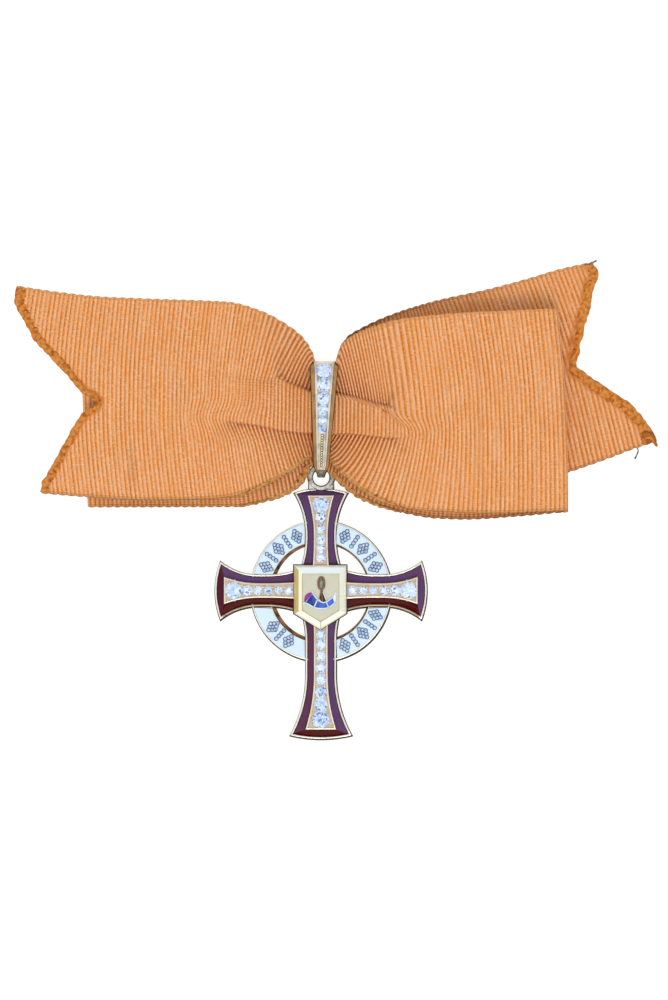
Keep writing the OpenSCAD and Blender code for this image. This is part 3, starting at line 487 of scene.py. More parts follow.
# Where the tails are cut, as (y, x) from the top down.
tailCuts = {
    "frontTail": [(55.2, -54.3), (54.6, -55.2), (53.2, -55.4), (49.6, -53.9), (45.8, -51.7), (41.1, -47.8),
                  (38.1, -44.9), (35.6, -42.8), (34.8, -41.2), (34.0, -40.2), (33.2, -40.3), (32.5, -41.9),
                  (31.6, -42.9), (29.8, -43.9), (27.3, -45.5), (24, -47.3), (20.2, -49.4), (18.6, -50.4),
                  (17.0, -49.8)],
    "rearTail": [(59.6, 48.3), (58.2, 49.6), (57.2, 50.0), (56, 49.8), (54.6, 49.2), (52, 48.6), (50.4, 48.3),
                 (49.6, 47.7), (46.6, 47.3), (44.7, 46.8), (43.8, 46.4), (42.5, 46.6), (41.4, 46.0),
                 (40.3, 46.0), (39.7, 46.8), (37.9, 49.3), (35.9, 52.4), (33.3, 56.1), (29.9, 58.8),
                 (26.8, 60.5), (25.2, 59.9)],
}


def surfaceAt(run, x):
    # Height in the picture and level of every column of a run, for the given x of each of its points.
    look = pleatLook
    topY, footY = eased(run["top"], x), eased(run["foot"], x)
    away = np.abs(x - knotLine)
    y, z = topY + (footY - topY) * colShare, eased(run["level"], away)
    if "upper" in run:
        upper, lower, hiddenTop, hiddenFoot, openTop, openFoot = (eased(run[key], away) for key in (
            "upper", "lower", "hiddenUpper", "hiddenLower", "openUpper", "openLower"))
        liftTop, liftFoot = (np.clip(hidden / look["fullDepth"], 0, 1) for hidden in (hiddenTop, hiddenFoot))
        step, radius = look["layerStep"], look["foldRadius"]
        for j, (name, share, t) in enumerate(cols):
            swell, turn = radius * math.sin(math.pi * t), radius * math.cos(math.pi * t)
            top, foot, hideUp, hideDown = topY[:, j], footY[:, j], hiddenTop[:, j], hiddenFoot[:, j]
            up, down = (top + (foot - top) * at for at in (bandFrom, bandTo))
            up, down = up + (upper[:, j] - up) * openTop[:, j], down + (lower[:, j] - down) * openFoot[:, j]
            if name == "band":
                lift = liftTop[:, j] + (liftFoot[:, j] - liftTop[:, j]) * t ** 0.4
                y[:, j] = up + (down - up) * t
                z[:, j] += (2 * step + look["bandCrown"] * math.sin(math.pi * t)) * lift
                continue
            if share < bandFrom:
                lift, flat = liftTop[:, j], top + (up - top) * share / bandFrom
            else:
                lift, flat = liftFoot[:, j], down + (foot - down) * (share - bandTo) / (1 - bandTo)
            folded, rise = {
                "top": (top + (up - hideUp - top) * t, 0.0),
                "foldUnderTop": (up - hideUp - swell, radius - turn),
                "returnTop": (up - hideUp * (1 - t), step),
                "foldTop": (up + swell, step + radius - turn),
                "foldFoot": (down - swell, step + radius + turn),
                "returnFoot": (down + hideDown * t, step),
                "foldUnderFoot": (down + hideDown + swell, radius + turn),
                "foot": (down + hideDown + (foot - down - hideDown) * t, 0.0)}[name]
            y[:, j] = flat + (folded - flat) * lift
            z[:, j] += rise * lift
        for height, start, width in ((look["swellTop"], 0, 0.38), (look["swellFoot"], 0.58, 0.42)):
            z += np.exp(-((away - look["swellAt"]) / look["swellReach"]) ** 2) * height * np.sin(
                np.pi * np.clip((colShare - start) / width, 0, 1)) ** 1.3
    # Soft waves that cloth keeps after handling.
    z += 0.10 * np.sin(x / 5.1 + 2.3 * colShare + run["side"]) * smoothStep(6, 20, away)
    return y, z


def pocketAt(run, points):
    # How deep in painted shade each point lies, from 0 to 1: a share over the whole run, more by the knot,
    # in the pleats and in the gap by the bail.
    x, y = points[:, :, 0], points[:, :, 1]
    away = np.abs(x - knotLine)
    shade = run.get("shade", 0.0) + 0.28 * np.exp(-(away / 11) ** 2)
    if "upper" not in run:
        return shade
    sides = (("shadeUpper", ("top", "foldUnderTop", "returnTop"), y - eased(run["upper"], away), 1.9),
             ("shadeLower", ("foot", "foldUnderFoot", "returnFoot"), eased(run["lower"], away) - y, 2.2))
    for key, names, past, reach in sides:
        inside = np.array([name in names for name, share, t in cols])
        shade += 0.9 * eased(run[key], away) * np.exp(-np.maximum(past, 0) / reach) * inside
    if run["side"] < 0:     # painted shadow in the gap between the bail and the left wing
        shade += (1.6 * np.exp(-((x + 1.5) / 0.26) ** 4) * smoothStep(22.6, 23.6, y)
                  * smoothStep(28.4, 27.2, y))
    return shade


def alongRun(run):
    # Rows of the ribs, each a bowed line across the run.
    side = run["side"]
    end = abs((run["ends"][0] + run["ends"][1]) / 2 - (knotTopX + knotFootX) / 2)
    fine = np.linspace(0, end, 600)
    ribAt = np.concatenate([[0], np.cumsum(np.diff(fine) / eased(run["pitch"], (fine[1:] + fine[:-1]) / 2))])
    ribs = int(round(ribAt[-1]))
    goal = np.linspace(0, ribAt[-1], ribs * run["perRib"] + 1)
    middle = np.interp(goal, ribAt, fine)[:, None]
    bow = 1.0 + 0.5 * smoothStep(8, 30, middle)
    skew = eased(run["skew"], middle) * (0.5 - colShare)
    x = knotLine + side * middle
    for _ in range(14):      # the ribs settle on their lines in a few rounds
        y, z = surfaceAt(run, x)
        topY, footY = eased(run["top"], x), eased(run["foot"], x)
        creaseTop, creaseFoot = (topY + (footY - topY) * share for share in pleatLook["creases"])
        if "upper" in run:
            away = np.abs(x - knotLine)
            creaseTop = creaseTop + (eased(run["upper"], away) - creaseTop) * eased(run["openUpper"], away)
            creaseFoot = creaseFoot + (eased(run["lower"], away) - creaseFoot) * eased(run["openLower"], away)
        upperPart = np.clip((y - creaseTop) / (topY - creaseTop), 0, 1)
        footPart = np.clip((creaseFoot - y) / (creaseFoot - footY), 0, 1)
        lag = (eased(run["lagTop"], middle) * upperPart ** bow
               + eased(run["lagFoot"], middle) * footPart ** bow)
        if "sweep" in run:
            step = 1 - smoothStep(0, 1, (creaseTop - y) / eased(run["sweepReach"], middle))
            step = np.where(colShare < bandFrom, 1.0, np.where(colShare < bandTo, step, 0.0))
            lag += eased(run["sweep"], middle) * step
        if "lagPleat" in run:
            lag -= eased(run["lagPleat"], middle) * np.exp(-((y - creaseFoot) / 2.4) ** 2)
        x += 0.6 * (knotLine + side * np.maximum(middle - lag - skew, middle * 0.04) - x)
    return np.stack([x, *surfaceAt(run, x)], -1), ribs


def foldRows(front, back, side, perRib):
    # Half a turn between the last rows of a loop's front and its back.
    radius = (front[:, 2] - back[:, 2]) / 2
    ribs = max(2, int(round(math.pi * float(radius.mean()) / ribbonLook["ribPitch"])))
    rows = []
    for k in range(1, ribs * perRib):
        angle = math.pi * k / (ribs * perRib)
        row = front + (back - front) * (1 - math.cos(angle)) / 2
        row[:, 0] = row[:, 0] + side * radius * math.sin(angle)
        row[:, 2] = (front[:, 2] + back[:, 2]) / 2 + radius * math.cos(angle)
        rows.append(row)
    return np.array(rows), ribs


def ribbonRows():
    # The runs in their order along the ribbon, with the turns of the two loops between them. Each row of
    # points has its place along the ribbon in ribs, its run, and how deep in painted shade its points lie.
    rows, phases, owners, shades = [], [], [], []
    built = {run["name"]: (run, *alongRun(run)) for run in runs}
    foldPerRib, at = 4, 0

    def append(block, ribs, perRib, name, shade):
        nonlocal at
        for k in range(1 if rows else 0, len(block)):
            rows.append(block[k])
            phases.append(at + k / perRib)
            owners.append(name)
            shades.append(shade[k])
        at += ribs

    def appendRun(name, order=1):
        run, block, ribs = built[name]
        append(block[::order], ribs, run["perRib"], name, pocketAt(run, block)[::order])

    appendRun("frontTail", -1)
    for front, back, side in (("rightFront", "rightBack", 1), ("leftFront", "leftBack", -1)):
        appendRun(front)
        first, last = built[front][1][-1], built[back][1][-1]
        turn, ribs = foldRows(first, last, side, foldPerRib)
        append([first, *turn, last], ribs, foldPerRib, front, np.zeros((len(turn) + 2, len(cols))))
        appendRun(back, -1)
    appendRun("rearTail")
    return np.array(rows), np.array(phases), owners, np.array(shades)


def cutTails(grid, owners):
    # The first row past the cut in each column moves onto it, and the rest of that column ends there.
    keep, edges = np.ones(grid.shape[:2], bool), {}
    chance = np.random.default_rng(3)
    for name, side in (("frontTail", -1), ("rearTail", 1)):
        order = [k for k, owner in enumerate(owners) if owner == name][::side]
        edges[name] = []
        for j in range(grid.shape[1]):
            previous, done = None, False
            fray = chance.normal(0, ribbonLook["fray"])
            for k in order:
                if done:
                    keep[k, j] = False
                    continue
                past = side * (grid[k, j, 0] - float(eased(tailCuts[name], grid[k, j, 1]))) - fray
                if past > 0 and previous:
                    share = previous[0] / (previous[0] - past)
                    grid[k, j] = previous[1] + (grid[k, j] - previous[1]) * share
                    edges[name].append((k, j))
                    done = True
                else:
                    previous = (past, grid[k, j].copy())
            if not done:
                edges[name].append((order[-1], j))
    return keep, edges


def clothFaces(keep, edges, owners):
    # Upper and lower side, the two selvedges and the two cuts. Points past a cut are drawn back onto it.
    rowCount, colCount = keep.shape
    stop = {(name, j): k for name, line in edges.items() for k, j in line}
    faces = []

    def addFace(corners):
        ids = [((k if keep[k, j] else stop[(owners[k], j)]) * colCount + j) * 2 + under
               for k, j, under in corners]
        clean = [ids[i] for i in range(len(ids)) if ids[i] != ids[i - 1]]
        if len(set(clean)) > 2 and len(set(clean)) == len(clean):
            faces.append(tuple(clean))

    for k in range(rowCount - 1):
        for j in range(colCount - 1):
            if keep[k:k + 2, j:j + 2].any():
                addFace([(k, j, 0), (k + 1, j, 0), (k + 1, j + 1, 0), (k, j + 1, 0)])
                addFace([(k, j, 1), (k, j + 1, 1), (k + 1, j + 1, 1), (k + 1, j, 1)])
        for j, order in ((0, 1), (colCount - 1, -1)):
            if keep[k, j] or keep[k + 1, j]:
                addFace([(k, j, 0), (k + 1, j, 0), (k + 1, j, 1), (k, j, 1)][::order])
    for name, order in (("frontTail", 1), ("rearTail", -1)):
        for a, b in zip(edges[name][:-1], edges[name][1:]):
            addFace([(*a, 0), (*b, 0), (*b, 1), (*a, 1)][::order])
    return faces


def nearCut(grid, rowsOf, cutPoints):
    near = np.zeros(grid.shape[:2])
    for name, line in cutPoints.items():
        flat = grid[rowsOf[name], :, :2].reshape(-1, 2)
        best = np.full(len(flat), np.inf)
        for a, b in zip(line[:-1, :2], line[1:, :2]):
            edge = b - a
            t = np.clip((flat - a) @ edge / max(edge @ edge, 1e-9), 0, 1)
            best = np.minimum(best, np.linalg.norm(flat - a - t[:, None] * edge, axis=1))
        near[rowsOf[name]] = np.clip(1 - best / ribbonLook["rollReach"][name], 0, 1).reshape(-1, len(cols))
    return near


def makeRibbon():
    look = ribbonLook
    grid, phase, owners, shades = ribbonRows()
    rowsOf = {run["name"]: [k for k, owner in enumerate(owners) if owner == run["name"]] for run in runs}
    across = np.gradient(grid, axis=1)
    normal = -np.cross(np.gradient(grid, axis=0), across)
    normal /= np.maximum(np.linalg.norm(normal, axis=2, keepdims=True), 1e-9)
    across /= np.maximum(np.linalg.norm(across, axis=2, keepdims=True), 1e-9)
    rib = look["ribHeight"] * (1 - np.abs(np.cos(np.pi * phase)) ** 2.2)      # from the grooves to the ribs
    for run in runs:
        if run["perRib"] == 2:      # too few rows for ribs of their own
            rib[rowsOf[run["name"]]] = look["ribHeight"] / 2
    rolled = np.exp(-((grid[:, -1, 0] - knotFootX) / look["selvedgeReach"]) ** 4)
    pair = np.abs(np.sin(np.pi * phase / 2)) ** 0.6          # the selvedge loops round two ribs at a time
    grid[:, 0] -= across[:, 0] * (look["scallop"] * (pair - 0.6))[:, None]
    grid[:, -1] += across[:, -1] * (look["scallop"] * (1 + rolled) * (pair - 0.6))[:, None]
    rolled[rowsOf["leftFront"]] *= 2      # a thicker roll
    keep, edges = cutTails(grid, owners)
    bulge = np.zeros(grid.shape[:2])
    bulge[:, -1] = bulge[:, -2] = look["roll"] * rolled * pair
    offset = ((look["thickness"] / 2 + rib)[:, None] + bulge)[:, :, None] * normal
    points = np.stack([grid + offset, grid - offset], 2).reshape(-1, 3)
    faces = clothFaces(keep, edges, owners)
    used = sorted({i for f in faces for i in f})
    remap = {old: new for new, old in enumerate(used)}
    piece = addPiece("ribbonCloth", points[used], [[remap[i] for i in f] for f in faces], ["ribbedSilk"],
                     ("ribbon_bow",))
    # The flat cloth: ribs along it, millimetres across it.
    flat = np.stack(np.broadcast_arrays(phase[:, None], colShare * look["width"]), -1)
    flat = np.repeat(flat.reshape(-1, 2), 2, axis=0)[used]
    loopVertex = np.zeros(len(piece.data.loops), np.int32)
    piece.data.loops.foreach_get("vertex_index", loopVertex)
    piece.data.uv_layers.new(name="cloth").data.foreach_set("uv", flat[loopVertex].astype(np.float32).ravel())
    cutPoints = {name: np.array([grid[k, j] for k, j in line]) for name, line in edges.items()}
    for label, values in (("nearCut", nearCut(grid, rowsOf, cutPoints)), ("pocket", shades),
                          ("rolled", np.repeat(rolled, len(cols)))):
        made = piece.data.attributes.new(label, "FLOAT", "POINT")
        made.data.foreach_set("value", np.repeat(values.ravel(), 2)[used].astype(np.float32))
    selvedges = {}
    for name in ("frontTail", "leftFront", "rightFront", "rightBack"):
        line = grid[rowsOf[name], -1]
        away = np.abs(line[:, 0] - knotFootX)
        line = line[(away > 1.4) & (away < 15)]
        selvedges[name] = line if away[0] < away[-1] else line[::-1]
    print("ribbon ready:", len(piece.data.polygons), "faces,", round(phase[-1]), "ribs")
    return piece, cutPoints, selvedges


def makeHem(name, line, side, finishes):
    # A flat, lumpy roll along an edge, with patches of painted shade on its inner side where it dips.
    widths, pitch, height, gap = hemLook[name]
    chance = np.random.default_rng(8 if side > 0 else 5)
    length = np.concatenate([[0], np.cumsum(np.linalg.norm(np.diff(line[:, :2], axis=0), axis=1))])
    at = np.arange(0, length[-1], hemLook["step"])
    path = np.stack([np.interp(at, length, line[:, i]) for i in range(3)], 1)
    for _ in range(2):
        path[1:-1] = (path[:-2] + 2 * path[1:-1] + path[2:]) / 4
    tangent = np.gradient(path[:, :2], axis=0)
    tangent /= np.linalg.norm(tangent, axis=1, keepdims=True)
    inward = np.stack([side * tangent[:, 1], -side * tangent[:, 0]], 1)
    drift = np.interp(at, at[::5], np.cumsum(chance.normal(0, 0.12, len(at[::5]))))
    lump = np.abs(np.sin(np.pi * (at / pitch + drift))) ** 0.6
    swell = 1 - gap * (1 - lump) + np.interp(at, at[::3], chance.normal(0, 0.045, len(at[::3])))
    ends = np.clip(np.minimum(at, at[-1] - at) / 0.9 + 0.35, 0, 1)
    wander = np.interp(at, at[::2], chance.normal(0, 0.05, len(at[::2])))
    edge = hemLook["overhang"] + 0.45 * gap * (lump - 0.6) + wander
    half = eased(widths, path[:, 1]) / 2 * swell * ends
    rise = height / 2 * swell * ends
    shape, count = Shape(), 12      # points round the roll
    angles = np.arange(count) / count * 2 * math.pi
    knobs = 1 + chance.normal(0, 0.11, (len(at), count))
    rings = []
    for k in range(len(at)):
        across = half[k] * (1 + np.cos(angles) * (1 + (knobs[k] - 1) * (np.cos(angles) > 0))) - edge[k]
        rings.append([(*(path[k, :2] + inward[k] * across[j]),
                       path[k, 2] + 0.12 + rise[k] * math.sin(angles[j]) * knobs[k, j])
                      for j in range(count)])
    shape.loft(rings, 0, firstCap=True, lastCap=True)
    for k in range(len(at) - 1):
        reach = chance.integers(-1, 4) if lump[k] < 0.4 + gap else 0  # how far the painted shade of a gap reaches over the roll
        for j in range(reach):
            shape.kinds[k * count + j] = 1
    return shape.build("rolled_" + name, finishes, (), "ribbon")


def makeStrands():
    shape = Shape()
    for path, radii, kind in hemLook["strands"]:
        path = np.array(path, float)
        t = np.linspace(0, len(path) - 1, 5 * len(path))
        points = np.stack([eased(list(enumerate(path[:, i])), t) for i in range(3)], 1)
        wide = np.interp(t, range(len(radii)), radii)
        tangent = np.gradient(points, axis=0)
        aside = np.stack([-tangent[:, 1], tangent[:, 0], 0 * t], 1)
        aside /= np.linalg.norm(aside, axis=1, keepdims=True)
        rings = []
        for k in range(len(t)):
            reach = wide[k] * (1 + 0.18 * np.sin(t[k] * 5))
            rings.append([points[k] + aside[k] * reach * math.cos(a)
                          + np.array([0, 0, 0.7 * wide[k] * math.sin(a)])
                          for a in np.arange(8) / 8 * 2 * math.pi])
        shape.loft(rings, kind, firstCap=True, lastCap=True)
    return shape.build("looseThreads", ["rolledSilk", "rolledSilkShade", "looseThread"], (), "ribbon")


def makeRibbonMaterial():
    look = ribbonLook
    tree, shader = newMaterial("ribbedSilk")
    flat = node(tree, "ShaderNodeUVMap", uv_map="cloth").outputs[0]
    place = objectPlace(tree)
    ribAt, aside = node(tree, "ShaderNodeSeparateXYZ", {0: flat}).outputs[:2]
    spotX, spotY = node(tree, "ShaderNodeSeparateXYZ", {0: place}).outputs[:2]
    fine, medium, coarse, wide = (noise(tree, place, scale, detail) for scale, detail in (
        (3000, 3), (700, 4), (520, 2), (130, 5)))
    streak = node(tree, "ShaderNodeVectorMath", {0: flat, 1: (1.0, 0.09, 0.0)},
                  operation="MULTIPLY").outputs[0]
    phase = maths(tree, "FRACT",
                  maths(tree, "MULTIPLY_ADD", fine, 0.14, maths(tree, "SUBTRACT", ribAt, 0.07)))
    # Painted highlight and shade of the ribs: lighter along their tops, darker in the grooves.
    grooveShade, slope, top = look["grooveShadeColour"], look["slopeColour"], look["ribHighlightColour"]
    base = ramp(tree, phase, [(0.0, grooveShade), (0.13, grooveShade), (0.23, slope), (0.38, slope), (0.48, top),
                              (0.78, top), (0.88, slope), (0.96, grooveShade)])
    ribTone = node(tree, "ShaderNodeTexWhiteNoise", {"W": maths(tree, "FLOOR", ribAt)},
                   noise_dimensions="1D").outputs[0]
    wave = maths(tree, "SINE", maths(tree, "MULTIPLY", aside, 2 * math.pi / look["threadPitch"]))
    threads = maths(tree, "MULTIPLY_ADD", wave, 0.5, 0.5)
    # Every rib has its own tone, fine threads cross it, two layers of streaks follow it, then come blotches.
    for share, colour in (
            (maths(tree, "MULTIPLY", ribTone, 0.25), (0.84, 0.30, 0.07)),
            (maths(tree, "MULTIPLY", threads, 0.2), (0.60, 0.22, 0.05)),
            (ramp(tree, noise(tree, streak, 2.3, 2), [(0.4, 0.0), (0.7, 0.5)]), (0.72, 0.22, 0.015)),
            (ramp(tree, noise(tree, streak, 1.2, 3), [(0.45, 0.0), (0.75, 0.4)]), (0.85, 0.52, 0.31)),
            (ramp(tree, fine, [(0.5, 0.0), (0.72, 0.5)]), (0.90, 0.56, 0.33)),
            (ramp(tree, fine, [(0.3, 0.55), (0.46, 0.0)]), (0.66, 0.22, 0.04)),
            (ramp(tree, wide, [(0.42, 0.0), (0.7, 0.22)]), (0.74, 0.27, 0.06))):
        base = mixColour(tree, share, base, colour)
    # The selvedges. By the knot the lower one rolls into beads, one for two ribs, each painted lighter in its
    # middle and darker to its edges as painted shading of its round.
    half = look["width"] / 2
    edge = maths(tree, "DIVIDE", maths(tree, "ABSOLUTE", maths(tree, "SUBTRACT", aside, half)), half)
    base = mixColour(tree, ramp(tree, edge, [(0.968, 0.0), (0.99, 0.5)]), base, look["selvedgeColour"])
    rolled = attribute(tree, "rolled")
    beadShading = ramp(tree, maths(tree, "PINGPONG", maths(tree, "MULTIPLY", ribAt, 0.5), 0.5), [
        (0.0, (0.38, 0.15, 0.03)), (0.12, (0.56, 0.27, 0.075)), (0.3, (0.68, 0.36, 0.12)),
        (0.5, (0.74, 0.43, 0.17))])
    reach = maths(tree, "MULTIPLY_ADD", rolled, 0.009, maths(tree, "DIVIDE", aside, look["width"]))
    rollMask = maths(tree, "MULTIPLY", maths(tree, "MINIMUM", rolled, 1.0),
                     ramp(tree, reach, [(0.982, 0.0), (0.991, 0.92)]))
    base = mixColour(tree, rollMask, base, beadShading)
    # The cut ends, and the painted shade in the pleats and by the knot, deeper in the grooves than on the
    # ribs.
    worn = mixColour(tree, ramp(tree, medium, [(0.4, 0.0), (0.6, 1.0)]), look["cutColour"],
                     (0.66, 0.28, 0.08))
    worn = mixColour(tree, ramp(tree, coarse, [(0.5, 0.0), (0.62, 0.8)]), worn, (0.52, 0.12, 0.01))
    cutMask = ramp(tree, maths(tree, "MULTIPLY_ADD", fine, 0.3, attribute(tree, "nearCut")),
                   [(0.52, 0.0), (0.7, 0.9)])
    base = mixColour(tree, cutMask, base, worn)
    shadeMask = maths(tree, "MULTIPLY",
                  ramp(tree, attribute(tree, "pocket"), [(0.02, 0.0), (0.35, 0.65), (0.8, 1.0)]),
                  ramp(tree, phase, [(0.0, 1.0), (0.26, 1.0), (0.48, 0.16), (0.76, 0.16), (0.9, 1.0)]))
    base = mixColour(tree, shadeMask, base, look["pocketColour"], "MULTIPLY")
    # An old stain on the left wing and a faint pulled thread on the right loop.
    spots = toFrame([(*look["stainAt"], 0), (*look["pulledThreadAt"], 0)])
    (stainX, stainY), (pullX, pullY) = spots[:, :2].tolist()
    across = maths(tree, "DIVIDE", maths(tree, "SUBTRACT", spotX, stainX), 0.0011)
    down = maths(tree, "DIVIDE", maths(tree, "SUBTRACT", spotY, stainY), 0.0052)
    far = maths(tree, "ADD", maths(tree, "MULTIPLY", across, across), maths(tree, "MULTIPLY", down, down))
    stain = maths(tree, "MULTIPLY", ramp(tree, far, [(0.2, 0.38), (1.0, 0.0)]), medium)
    base = mixColour(tree, stain, base, (0.30, 0.19, 0.12))
    slant = 0.06
    pull = maths(tree, "SUBTRACT", maths(tree, "MULTIPLY_ADD", spotY, -slant, pullX + slant * pullY), spotX)
    pull = maths(tree, "MULTIPLY", maths(tree, "ABSOLUTE", pull), 1000.0)
    base = mixColour(tree, ramp(tree, pull, [(0.1, 0.28), (0.4, 0.0)]), base, (0.55, 0.22, 0.08))
    fill(tree, shader, {
        "Base Color": base, "Roughness": 0.62, "Sheen Weight": 0.15, "Sheen Roughness": 0.4,
        "Specular IOR Level": 0.25,
        "Normal": bumped(tree, maths(tree, "MULTIPLY_ADD", fine, 0.6, threads), 0.35, 0.0002)})


makeRibbonMaterial()
ribbonPiece, cutPoints, selvedges = makeRibbon()
ribbonExtras = [makeHem(name, cutPoints[name], side, ["rolledSilk", "rolledSilkShade"]) for name, side in (
    ("frontTail", -1), ("rearTail", 1))]
ribbonExtras += [makeHem(label, selvedges[name], side, ["rolledSelvedge", "rolledSelvedgeShade"])
                 for label, name, side in (("frontSelvedge", "frontTail", 1),
                                           ("leftSelvedge", "leftFront", 1),
                                           ("rightSelvedge", "rightFront", -1),
                                           ("rearSelvedge", "rightBack", -1))]
ribbonExtras.append(makeStrands())
print("ribbon ends ready")

# Gold cross with its enamel. The wheel's centre lies a little differently on three levels.
crossLook = {
    "rimWidth": 0.55, "rimHeight": 1.5, "enamelLow": 1.38, "enamelHigh": 1.72, "enamelSwell": 0.05,
    "fieldHeight": 2.5, "fieldRim": 0.2, "fieldFloor": 2.3, "wheelOuter": 12.8, "wheelInner": 8.6,
    "wheelHeight": 1.3, "wheelUpper": (0.0, -0.1), "wheelEnamel": (-0.11, -0.3), "wheelLower": (0.1, -0.26),
    "wallLean": (0.06, -0.15, 0), "ring": (0.07, 20.33, 1.45), "sidePoints": 30, "endPoints": 16,
}
rootFrom, rootRadius, fieldRootRadius = 3.0, 17.0, 68.0
# Corner and waist have a height and a half width, and stones are (distance, radius).
Arm = namedtuple("Arm", "turn reach cornerY cornerHalf rootAt flareAt half endRadius fieldReach fieldEndHalf "
                        "fieldHalf stones")
arms = {
    "top": Arm(0, 18.54, 17.69, 5.06, 9.6, 9.9, 2.86, 15.5, 17.1, 2.35, 1.22,
               [(5.9, .78), (7.56, .72), (9.2, .76), (11.05, .72), (13.15, .9), (15.5, 1.35)]),
    "right": Arm(-90, 19.24, 18.1, 5.45, 9.7, 11.2, 3.0, 15.0, 17.4, 2.43, 1.28,
                 [(5.72, .8), (7.6, .72), (9.41, .66), (11.38, .79), (13.4, .92), (15.85, 1.4)]),
    "bottom": Arm(180, footReach, 26.2, 5.8, 9.0, 15.2, 2.9, 23.8, 25.0, 2.73, 1.2,
                  [(7.94, .79), (9.72, .83), (11.8, .83), (13.9, .92), (15.97, .88), (18.25, 1.0),
                   (20.55, 1.13), (23.25, 1.43)]),
    "left": Arm(90, 19.24, 18.1, 5.45, 9.7, 11.2, 3.0, 15.0, 17.4, 2.43, 1.28,
                [(5.72, .7), (7.6, .66), (9.43, .7), (11.3, .76), (13.22, .86), (15.7, 1.42)]),
}
rng = np.random.default_rng(7)


def sideX(y, inset, half, rootAt, flareAt, root, flare):
    y = np.asarray(y, float)
    low = half + root - np.sqrt((root + inset) ** 2 - np.minimum(y - rootAt, 0) ** 2)
    high = half + flare - np.sqrt((flare + inset) ** 2 - np.maximum(y - flareAt, 0) ** 2)
    return np.where(y < rootAt, low, np.where(y > flareAt, high, half - inset))


def flareRadius(corner, flareAt, out):
    up = corner - flareAt
    return (up * up + out * out) / (2 * out)


def rimShape(arm):
    return (arm.half, arm.rootAt, arm.flareAt, rootRadius,
            flareRadius(arm.cornerY, arm.flareAt, arm.cornerHalf - arm.half))


def fieldShape(arm):
    return (arm.fieldHalf, arm.rootAt, arm.flareAt, fieldRootRadius,
            flareRadius(arm.fieldReach, arm.flareAt, arm.fieldEndHalf - arm.fieldHalf))


def armRing(arm, inset, z, field=False):
    # An outline of an arm, or of its raised field, drawn in by an inset: right side, end, left side.
    sideCount, endCount = crossLook["sidePoints"], crossLook["endPoints"]
    shape = fieldShape(arm) if field else rimShape(arm)
    middle, radius = arm.reach - arm.endRadius, arm.endRadius - inset
    corner = arm.fieldReach - inset
    if not field:      # where the side meets the round end
        low, high = arm.flareAt, arm.reach
        for _ in range(50):
            corner = (low + high) / 2
            out = math.hypot(float(sideX(corner, inset, *shape)), corner - middle) > radius
            low, high = (low, corner) if out else (corner, high)
    y = rootFrom + (corner - rootFrom) * np.linspace(0, 1, sideCount) ** 0.85
    right = np.column_stack([sideX(y, inset, *shape), y])
    if field:
        end = np.column_stack([np.linspace(right[-1, 0], -right[-1, 0], endCount + 2),
                               np.full(endCount + 2, corner)])
    else:
        edge = math.atan2(right[-1, 0], corner - middle)
        angle = np.linspace(edge, -edge, endCount + 2)
        end = np.column_stack([radius * np.sin(angle), middle + radius * np.cos(angle)])
    flat = np.concatenate([right, end[1:-1], (right * [-1, 1])[::-1]])
    return np.column_stack([turned(flat, arm.turn), np.full(len(flat), z)])


def loftArm(shape, arm, rows, kind, field=False, **caps):  # rows of (inset, z)
    rings = [armRing(arm, inset, z, field) for inset, z in rows]
    shape.loft(rings, kind, **caps)
    return rings


def lathe(shape, profile, count, kind=0, centre=(0, 0)):
    # Rows of (radius, z), some with a centre of their own.
    shape.loft([circle(own[0] if own else centre, radius, z, count) for radius, z, *own in profile], kind)


def bead(shape, centre, radius, kind=0, rows=4, count=8, flat=1.0):
    angles = [math.pi / 2 * k / rows for k in range(rows + 1)]
    shape.loft([circle(centre, max(radius * math.cos(a), 1e-4),
                       centre[2] + radius * math.sin(a) * flat, count) for a in angles],
               kind, firstCap=True, lastCap=True)


